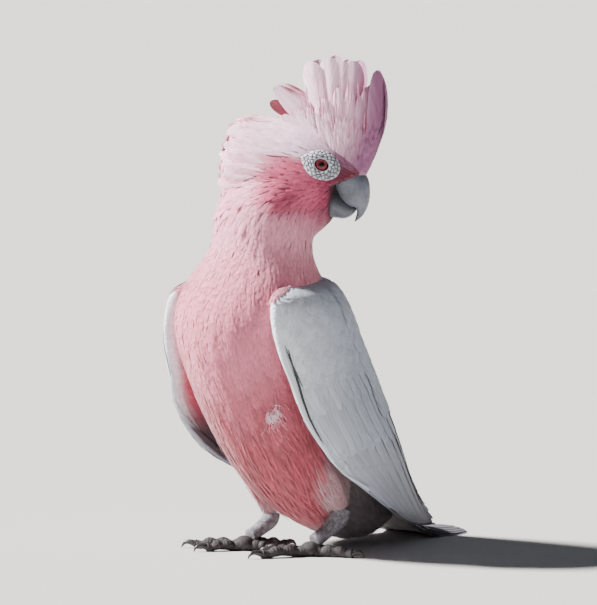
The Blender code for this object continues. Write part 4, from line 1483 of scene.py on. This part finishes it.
def make_plumes():
    """The broad plumes, the same on both sides of the head but for small chances."""
    coat = Coat("crest_plumes", CREST_PLUMAGE, "plumage_pale")
    dice = np.random.default_rng(51)
    rows = np.array(PLUMES)
    count = len(rows)
    wide, bend, face = rows[:, 6], rows[:, 7], np.radians(rows[:, 8])
    red, deep_pink_and_shade, mauve_and_shade, taper = (rows[:, k : k + 1] for k in (9, 10, 11, 12))
    along, across = PLUME[:2]
    column = np.rint((across / np.maximum(abs(across).max(), 1) / 2 + 0.5) * 10).astype(int)
    wave = 0.25 * np.sin(across * 9 + along * 3)[None, :, None]
    lift = 0.8 * along[None, :, None] ** 3 + wave * 0.6
    narrow = across * (1 - taper * ease(along, 0.5, 1.0))
    plumes = np.broadcast_to(along, (count, len(along)))
    for side in (-1, 1):
        root = rows[:, 0:3] * (1, side, 1) + dice.normal(0, 0.3, (count, 3))
        tip = rows[:, 3:6] * (1, side, 1) + dice.normal(0, 0.5, (count, 3)) * (side > 0)
        middle = (root + tip) / 2
        middle[:, 0] += bend
        middle[:, 1] += side * 0.6
        out = np.sin(face)[:, None] * HEAD_FORWARD + side * np.cos(face)[:, None] * HEAD_LEFT
        normals = np.stack([out, out, unit(out + 0.25 * UP)], 1)
        stops = from_head(np.stack([root, middle, tip], 1))
        points = bent_vanes((plumes, narrow), stops, normals, wide, lift, 0.34, 0.1 * side)
        front = across * side
        streak = (1 + dice.normal(0, 0.045, (count, 11)))[:, column][..., None]
        own = crest_colour(points) * (1 + dice.normal(0, 0.02, (count, 1, 1))) * streak
        # deep pink on each plume's front edge, tucked under the next, and at its root: partly its colour,
        # partly painted shade
        edge = ease(front, 0.0, 0.95) * ease(along, 1.0, 0.7)
        own = mix(own, CREST_DEEP_PINK_AND_SHADE, deep_pink_and_shade * np.maximum(edge, ease(along, 0.6, 0.1) * 0.7) * 0.75)
        # the front half of each plume turns mauve: partly its colour, partly painted shade on the side away
        # from the key
        own = mix(own, MAUVE_AND_SHADE, mauve_and_shade * ease(front, -0.5, 0.3) * 0.8)
        edge = ease(front, 0.35, 0.75) * ease(along, 0.6, 0.75)
        own = mix(own, NAPE_RED * 0.5, red * np.maximum(edge, (red > 0.9) * 0.95))
        aside = 0.5 + side * (0.06 + 0.4 * np.arange(count) / count)
        patch = np.clip(np.stack([aside, 0.2 + 0.6 * wide / 20], 1), 0.01, 0.99)
        coat.add(points, PLUME, own, dice, patch)
    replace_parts(coat.finish(), "crest")


def lay_slips(coat, count, spread, reach, length, widths, depth, seed, colour_at):
    """Slim feathers laid up the crest's sheet; reach is where their ends lie, low to high."""
    dice = np.random.default_rng(seed)
    w = spread(dice.random(count))
    reach = np.sort(reach[0] + (reach[1] - reach[0]) * dice.random(count) ** 1.3)[::-1]
    pattern = frayed(5)
    along = ragged(pattern, count, dice, -0.08, 0.05)
    start = np.clip(reach - dice.uniform(*length, count), -0.1, 1)
    roots = np.stack([start, w], 1)
    tips = np.stack([reach, w + dice.normal(0, 0.004, count)], 1)
    sink = depth[0] + (depth[1] - depth[0]) * reach[:, None] - 0.8 * along
    wide = widths[0] + (widths[1] - widths[0]) * reach
    middles = (roots + tips) / 2
    points, _ = hugging_vanes(CREST, (along, pattern[1]), roots, middles, tips, wide, sink, 0.0, 0.35)
    streak = 1 + dice.normal(0, 0.05, (count, 1, 1)) + dice.normal(0, 0.05, along.shape)[..., None]
    patch = np.clip(inset(np.stack([w, np.clip(start, 0, 1)], 1)), 0.01, 0.99)
    coat.add(points, pattern, colour_at(points, along) * streak, dice, patch)


def make_crest_foot():
    """Slim feathers that sweep up over the plumes' feet, and deep pink strands between the plumes, partly
    painted shade in the gaps between them.
    """
    foot = Coat("crest_foot", CREST_PLUMAGE, "plumage_pale")

    def foot_colour(points, along):
        # deep pink towards the root: partly the feather's base, partly painted shade
        return mix(crest_colour(points), CREST_DEEP_PINK_AND_SHADE, ease(along, 0.7, 0.1) * 0.3)

    def strand_colour(points, along):
        return mix(crest_colour(points), CREST_DEEP_PINK_AND_SHADE, 0.45 + 0.2 * along)

    def two_sides(a):
        return np.where(a < 0.5, a * 0.94 + 0.012, a * 0.94 + 0.048)

    def front(a):
        return 0.5 + (a - 0.5) * 0.16

    def between(a):
        return np.where(a < 0.5, a * 0.7 + 0.08, a * 0.7 + 0.22)

    for count, spread, reach, length, widths, depth, seed, colour_at in (
            (700, two_sides, (0.02, 0.5), (0.2, 0.34), (2.4, 3.4), (-0.1, -0.4), 55, foot_colour),
            (90, front, (0.02, 0.9), (0.24, 0.36), (3.6, 4.6), (1.0, 1.3), 56, foot_colour),
            (150, between, (0.4, 0.86), (0.2, 0.3), (0.7, 1.0), (-0.2, -0.4), 57, strand_colour)):
        lay_slips(foot, count, spread, reach, length, widths, depth, seed, colour_at)
    foot.finish()


make_plumes()
make_crest_foot()


# ---------------------------------------------------------------- eyes
# In the head's frame, for its left side: the eyeball's middle and the way it looks, then the middle
# of the bare ring on the skin, its long way and its high way.
EYE_MIDDLE = np.array((17.5, 14.3, 255.1))
EYE_OUT = unit(np.array((0.371, 0.903, 0.216)))
EYE_RADIUS = 5.6
RING_LONG = unit(np.array((0.91, -0.23, -0.34)))
RING_SIZE = (12.6, 9.6)  # half length and half height of the bare ring
LID_GAP = (4.5, 3.8)  # half length and half height of the opening
LID_SHARE = 0.12  # how much of the ring, from its inside, is the rolled lid
HEAD_TREE = node_tree_of(("head",))


def to_side(spots, side):
    """Points or ways of the head's left side moved to the side wanted."""
    return np.asarray(spots, float) * np.array((1, side, 1))


def head_way(way):
    """A direction of the head's frame in the world."""
    return way[0] * HEAD_FORWARD + way[1] * HEAD_LEFT + way[2] * UP


def with_tint(name, made, colour_at, material):
    """A finished bmesh piece with its colours painted from its points in millimetres."""
    tint = np.clip(colour_at(corners_of(made)), 0, 1)
    piece = piece_from(name, made, material)
    paint(piece.data, "Tint", tint)
    return piece


def make_eye(name, side):
    """The eyeball: black pupil, dusky red iris with a black rim, under a wet coat."""
    middle = from_head(to_side(EYE_MIDDLE, side))
    out = head_way(to_side(EYE_OUT, side))
    across = unit(np.cross(out, UP))
    rise = np.cross(across, out)

    def place(along, around):
        angle = math.radians(112) * along
        c, s = rounded(around)
        bulge = 1 + 0.03 * ease(along, 0.4, 0.0)
        off = (across * c[:, None] + rise * s[:, None]) * np.sin(angle)[:, None]
        return middle + (off + out * (np.cos(angle) * bulge)[:, None]) * EYE_RADIUS

    def colour_at(places):
        angle = np.degrees(np.arccos(np.clip(unit(places - middle) @ out, -1, 1)))
        colour = mix(plain(shade(164, 64, 76), places), shade(112, 38, 50), ease(angle, 30, 20))
        colour = mix(colour, shade(8, 6, 7), ease(angle, 17.5, 15.5))
        return mix(colour, shade(14, 10, 12), ease(angle, 41, 45))

    piece = with_tint(f"eyeball_{name}", tube(place, 40, 64), colour_at, IRIS)
    layer = piece.data.uv_layers.new(name="Vane")
    places = np.array([v.co for v in piece.data.vertices]) / MM - middle
    around = np.arctan2(places @ rise, places @ across) / math.tau + 0.5
    depth = places @ out / EYE_RADIUS
    spots = np.stack([around, depth], 1)
    corners = np.array([spots[loop.vertex_index] for loop in piece.data.loops])
    layer.uv.foreach_set("vector", corners.astype(np.float32).ravel())
    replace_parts(piece, f"eye_{name}")


def ring_shape(across, around):
    """The bare ring's plan, 0 at the lids and 1 at the feathers, its rear end drawn to a point."""
    c, s = np.cos(around), np.sin(around)
    rear = ease(-c, 0.0, 1.0)
    high = np.sign(s) * abs(s) ** (1 + 0.75 * rear)
    outer = np.stack([RING_SIZE[0] * c * (1 + 0.12 * rear), RING_SIZE[1] * high], -1)
    inner = np.stack([LID_GAP[0] * c, LID_GAP[1] * s], -1)
    return inner + (outer - inner) * across[..., None]


def make_eye_ring(name, side):
    """Bare skin round the eye: a rolled dark lid, then pebbled ridges that run round it."""
    middle = from_head(to_side(EYE_MIDDLE, side))
    out = head_way(to_side(EYE_OUT, side))
    long_way = head_way(to_side(RING_LONG, side))
    long_way = unit(long_way - out * (long_way @ out))
    high_way = np.cross(out, long_way) * side
    rings, sides = 44, 260
    turn = np.linspace(0, math.tau, sides, endpoint=False)
    across, around = np.meshgrid(np.linspace(0, 1, rings), turn, indexing="ij")
    plan = ring_shape(across, around)
    dice = np.random.default_rng(61 + side)
    starts = middle + plan[..., :1] * long_way + plan[..., 1:] * high_way
    ground = np.zeros(across.shape)
    away = 40
    for index in np.ndindex(across.shape):
        hit = HEAD_TREE.ray_cast(Vector(starts[index] + out * away), Vector(-out))
        ground[index] = away - hit[3] if hit[0] is not None else 0.0
    # pebbles of uneven size in rows round the eye, parted by dark grooves; the lid is one rolled band
    seeds = []
    for level, beads in ((0.21, 11), (0.42, 14), (0.64, 17), (0.87, 20)):
        turns = (np.arange(beads) + dice.uniform(0, 1)) / beads * math.tau + dice.normal(0, 0.05, beads)
        seeds.append(np.stack([level + dice.normal(0, 0.022, beads), turns % math.tau], 1))
    seeds = np.concatenate(seeds)
    seats = ring_shape(seeds[:, 0], seeds[:, 1])
    gaps = np.linalg.norm(plan[..., None, :] - seats, axis=-1)
    tone_and_front_shade = dice.uniform(0.8, 1.04, len(seats))[np.argmin(gaps, -1)]
    gaps = np.sort(gaps, axis=-1)
    # each pebble's own tone with the lid lighter, and the ring darkened towards the front and lightened
    # towards the rear as painted shade and light
    tone_and_front_shade = np.where(across < LID_SHARE, 1.06, tone_and_front_shade) * (1 - 0.1 * np.cos(around))
    pebble = ease(gaps[..., 1] - gaps[..., 0], 0.0, 1.1) * dice.uniform(0.92, 1, across.shape)
    pebble = np.where(across < LID_SHARE, ease(abs(across - 0.055), 0.06, 0.035), pebble)
    swell = 1.5 * np.sin(math.pi * np.clip(0.14 + 0.86 * across, 0, 1)) ** 0.8
    lid = ease(across, 0.0, 0.07)
    height = ground - 0.25 + swell + 0.75 * pebble * ease(across, 0.0, 0.03) * ease(across, 1.0, 0.9)
    inner = math.sqrt(EYE_RADIUS**2 - 4.2**2) + 0.1
    height = inner + (height - inner) * lid
    points = starts + out * height[..., None]
    made = bmesh.new()
    keyed = made.verts.layers.float_vector.new("Shade")
    column, line_at = grid(made, sides, rings - 1)
    seat = np.rint(line_at * (rings - 1)).astype(int), np.rint(column * sides).astype(int) % sides
    move_corners(made, points[seat])
    own = dice.normal(0, 0.03, len(made.verts))
    colour = mix(shade(128, 126, 134), shade(214, 218, 230), ease(pebble[seat], 0.05, 0.75))
    colour = colour * tone_and_front_shade[seat][:, None]
    colour = mix(colour, shade(26, 20, 24), ease(across[seat], 0.02, 0.008))
    colour = colour * (1 + own[:, None])
    for vertex, value in zip(made.verts, colour):
        vertex[keyed] = value
    bmesh.ops.remove_doubles(made, verts=made.verts, dist=0.002)
    bmesh.ops.recalc_face_normals(made, faces=made.faces)
    made.normal_update()
    if sum(f.normal.dot(Vector(out)) for f in made.faces) < 0:
        bmesh.ops.reverse_faces(made, faces=made.faces)
    values = np.array([v[keyed] for v in made.verts])
    piece = piece_from(f"bare_ring_{name}", made, BARE_SKIN)
    paint(piece.data, "Tint", values)
    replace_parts(piece, f"eye_ring_{name}")


for eye_name, eye_side in SIDES.items():
    make_eye(eye_name, eye_side)
    make_eye_ring(eye_name, eye_side)


# ---------------------------------------------------------------- bill
def bill_place(rows, ridge):
    """The bill's surface through its rows; ridge narrows it towards the culmen or the chin."""

    def place(along, around):
        rings = blend(rows, along)
        c, s = rounded(around, 2.0)
        narrow = 1 - ridge * np.clip(c, 0, 1) ** 2
        forward = (rings[:, 0] + rings[:, 2]) / 2 + (rings[:, 0] - rings[:, 2]) / 2 * c
        height = (rings[:, 1] + rings[:, 3]) / 2 + (rings[:, 1] - rings[:, 3]) / 2 * c
        return from_head(np.stack([forward, rings[:, 4] * s * narrow, height], 1))

    return place


def make_bill():
    """Both halves of the bill, with painted shade where they meet; the upper half is also a little darker low
    down.
    """
    rows = np.asarray(UPPER_BILL)

    def upper_painted_shade(f, z):
        cut = np.interp(-z, -rows[:, 3], rows[:, 2])
        return (0.35 + 0.65 * ease(f - cut, 0.2, 2.6)) * (0.9 + 0.1 * ease(z, 222, 232))

    def lower_painted_shade(f, z):
        return 0.3 + 0.5 * ease(z + 0.6 * (f - 26), 236, 226)

    for name, node, table, ridge, rings, sides, light in (
            ("bill_top", "bill_upper", UPPER_BILL, 0.12, 60, 48, upper_painted_shade),
            ("bill_bottom", "bill_lower", LOWER_BILL, -0.05, 44, 40, lower_painted_shade)):

        def colour_at(places):
            f, _, z = in_head(places).T
            return np.repeat(light(f, z)[:, None], 3, 1)

        made = tube(bill_place(table, ridge), rings, sides)
        half = with_tint(name, made, colour_at, BILL_HORN)
        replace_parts(half, node)


make_bill()


# ---------------------------------------------------------------- legs and feet
def limb_place(rows, relief):
    """A limb through rows of x, y, z, radius; relief(along, around) is its scales' height."""
    rows = np.asarray(rows, float)

    def place(along, around):
        at = blend(rows, along)
        ahead = heading(rows, along, slice(0, 3))
        side = unit(np.cross(ahead, UP))
        up = np.cross(side, ahead)
        c, s = rounded(around)
        radius = at[:, 3] + relief(along, around) * np.minimum(1, at[:, 3] / 2)
        points = at[:, :3] + (side * c[:, None] + up * s[:, None]) * radius[:, None]
        points[:, 2] = np.maximum(points[:, 2], 0.05)
        return points + STANCE

    return place


def pebbles(rows, columns, depth, seed):
    """Small round scales all over a limb, a brick's half step apart from row to row."""
    dice = np.random.default_rng(seed)
    wander = dice.uniform(0, math.tau, 4)

    def relief(along, around):
        row = along * rows + 0.3 * np.sin(around * math.tau * 2 + wander[0])
        column = around * columns + 0.5 * (np.floor(row) % 2) + 0.3 * np.sin(along * 20 + wander[1])
        bead = abs(np.sin(math.pi * row)) * abs(np.sin(math.pi * column))
        return depth * (bead**0.5 - 0.6)

    return relief


def scutes(count, depth, seed):
    """Plates across the top of a toe and pads of small scales under it."""
    under = pebbles(count * 1.6, 14, depth * 0.8, seed)

    def relief(along, around):
        top = ease(np.sin(around * math.tau), -0.25, 0.15)
        plate = abs(np.sin(math.pi * along * count)) ** 0.35
        return top * depth * (plate - 0.6) + (1 - top) * under(along, around)

    return relief


def scaly_piece(name, made, base, edge):
    """A piece of the leg or foot in foot scales, worn from its base colour to its edge colour."""

    def colour_at(places):
        wear = clouds(places, 3.0, 73) * 0.2 + 0.5
        patches = clouds(places, 9, 71) * 0.12
        fine = clouds(places, 2.5, 72) * 0.1
        return mix(plain(base, places), edge, np.clip(wear + patches + fine, 0, 1))

    return with_tint(name, made, colour_at, FOOT_SCALES)


def toe_rows(pad, angle, length, radius):
    """A toe from under the pad's edge to the root of its claw: three joints, each a low bump."""
    way = np.array((-math.sin(angle), -math.cos(angle), 0))
    rows = []
    for t in np.linspace(0, 1, 7):
        thick = radius * (1 - 0.22 * t) * (1 + 0.13 * math.cos(t * 3 * math.tau))
        point = np.array((pad[0], pad[1], 0)) + way * (4.5 + (length - 4.5) * t)
        rows.append((point[0], point[1], thick * 0.86 + 1.6 * math.sin(math.pi * t) ** 2, thick))
    return rows, way


def claw_rows(start, way, length, radius):
    """A claw: a hooked horn that rises out of the toe's end and comes down to the floor."""
    rows = []
    for t in np.linspace(0, 1, 6):
        reach = length * 0.8 * math.sin(t * 1.35)
        height = start[2] * (1 - t) + 2.6 * math.sin(math.pi * t) + 0.2 * t
        thick = max(radius * (1 - t) ** 0.7, 0.3)
        rows.append((start[0] + way[0] * reach, start[1] + way[1] * reach, height, thick))
    return rows


SCUTE_LENGTH = 2.1


def make_foot(name, side):
    """Shank, sole, four toes and four claws."""
    powder, bare = shade(184, 182, 192), shade(104, 98, 106)
    dark, pale = shade(27, 24, 26), shade(74, 68, 70)
    shank = tube(limb_place(SHANKS[side], pebbles(20, 24, 0.5, 81)), 90, 96)
    leg = scaly_piece(f"leg_{name}", shank, bare, powder)
    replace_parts(leg, f"shank_{name}")
    pad = PADS[side]
    beads = pebbles(12, 26, 0.45, 82)

    def sole_place(along, around):
        angle = math.pi * along
        c, s = rounded(around)
        radius = 1 + beads(along, around) / 7
        points = np.stack([s * np.sin(angle), -np.cos(angle), c * np.sin(angle)], 1)
        points = points * np.array(PAD_SIZE) * 0.86
        points = points * radius[:, None] + np.array(pad) - (0, 0, 0.7)
        points[:, 2] = np.maximum(points[:, 2], 0.05)
        return points + STANCE

    sole = scaly_piece(f"foot_{name}", tube(sole_place, 48, 60), dark * 1.2, pale)
    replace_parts(sole, f"sole_{name}")
    for toe, (turn, length, claw, radius) in TOES.items():
        angle = math.radians(HEADINGS[side] + side * turn)
        rows, way = toe_rows(pad, angle, length, radius)
        count = length / SCUTE_LENGTH
        made = tube(limb_place(rows, scutes(count, 0.42, 83)), int(count * 8), 40)
        digit = scaly_piece(f"digit_{toe}_{name}", made, dark, pale)
        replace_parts(digit, f"toe_{toe}_{name}")
        start = np.array(rows[-1][:3]) - way * 0.6
        hooked = claw_rows(start, way, claw, rows[-1][3] * 0.72)
        made = tube(limb_place(hooked, lambda along, around: 0.0), 26, 18)
        hook = with_tint(f"nail_{toe}_{name}", made, lambda p: np.ones(p.shape), CLAW_HORN)
        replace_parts(hook, f"claw_{toe}_{name}")


for foot_name, foot_side in SIDES.items():
    make_foot(foot_name, foot_side)


# ---------------------------------------------------------------- floor, light and camera
def make_floor():
    """A wide pale floor."""
    made = bmesh.new()
    bmesh.ops.create_circle(made, cap_ends=True, segments=96, radius=16.0)
    mesh = mesh_of("floor", made)
    material, _, shader = new_material("pale floor")
    fill(shader, Base_Color=(0.6, 0.595, 0.58, 1), Roughness=0.9)
    mesh.materials.append(material)
    floor = object_of("floor", mesh)


def sun(name, place, power, spread, colour):
    """A soft distant light that shines from a place towards the bird."""
    light = bpy.data.lights.new(name, "SUN")
    light.energy = power
    light.angle = math.radians(spread)
    light.color = colour
    object_of(name, light).rotation_euler = Vector(place).to_track_quat("Z", "Y").to_euler()


def lamp(name, place, aim, size, power, colour):
    """A soft square lamp at a place, turned to what it lights."""
    light = bpy.data.lights.new(name, "AREA")
    light.shape = "SQUARE"
    light.size = size
    light.energy = power
    light.color = colour
    made = object_of(name, light)
    made.location = place
    made.rotation_euler = (Vector(aim) - Vector(place)).to_track_quat("-Z", "Y").to_euler()


def make_studio():
    """A strong key from above the bird's right, a wide dim fill, dim blue air and a pale wall."""
    sun("key", (-1.5, -1.45, 1.7), 16.0, 7, (1.0, 0.975, 0.94))
    lamp("fill", (1.6, -2.3, 2.6), (0, -0.02, 0.2), 0.7, 3, (0.95, 0.97, 1.0))
    world = bpy.data.worlds.new("studio")
    world.use_nodes = True
    tree = world.node_tree
    room = fill(tree.nodes["Background"], Color=(0.84, 0.9, 1.0, 1), Strength=0.11)
    wall = put(tree, "ShaderNodeBackground", Color=(0.9, 0.9, 0.88, 1), Strength=2.1)
    path = put(tree, "ShaderNodeLightPath")
    either = put(tree, "ShaderNodeMixShader")
    tree.links.new(path.outputs["Is Camera Ray"], either.inputs[0])
    tree.links.new(room.outputs[0], either.inputs[1])
    tree.links.new(wall.outputs[0], either.inputs[2])
    tree.links.new(either.outputs[0], tree.nodes["World Output"].inputs["Surface"])
    bpy.context.scene.world = world


CAMERA_AZIMUTH = math.radians(45)
CAMERA_HEIGHT = math.radians(6)
CAMERA_FAR = 4.0
CAMERA_LENS = 366.2
CAMERA_AIM = Vector((-4.6, -22.4, 162.4)) * MM


def make_camera():
    """The camera, in front of the bird and to its left, a little above its middle."""
    data = bpy.data.cameras.new("camera")
    data.lens = CAMERA_LENS
    data.clip_start = 0.1
    data.clip_end = 60
    camera = object_of("camera", data)
    level = math.cos(CAMERA_HEIGHT)
    way = Vector((
        math.sin(CAMERA_AZIMUTH) * level,
        -math.cos(CAMERA_AZIMUTH) * level,
        math.sin(CAMERA_HEIGHT),
    ))
    camera.location = CAMERA_AIM + way * CAMERA_FAR
    camera.rotation_euler = (-way).to_track_quat("-Z", "Y").to_euler()
    bpy.context.scene.camera = camera


make_floor()
make_studio()
make_camera()
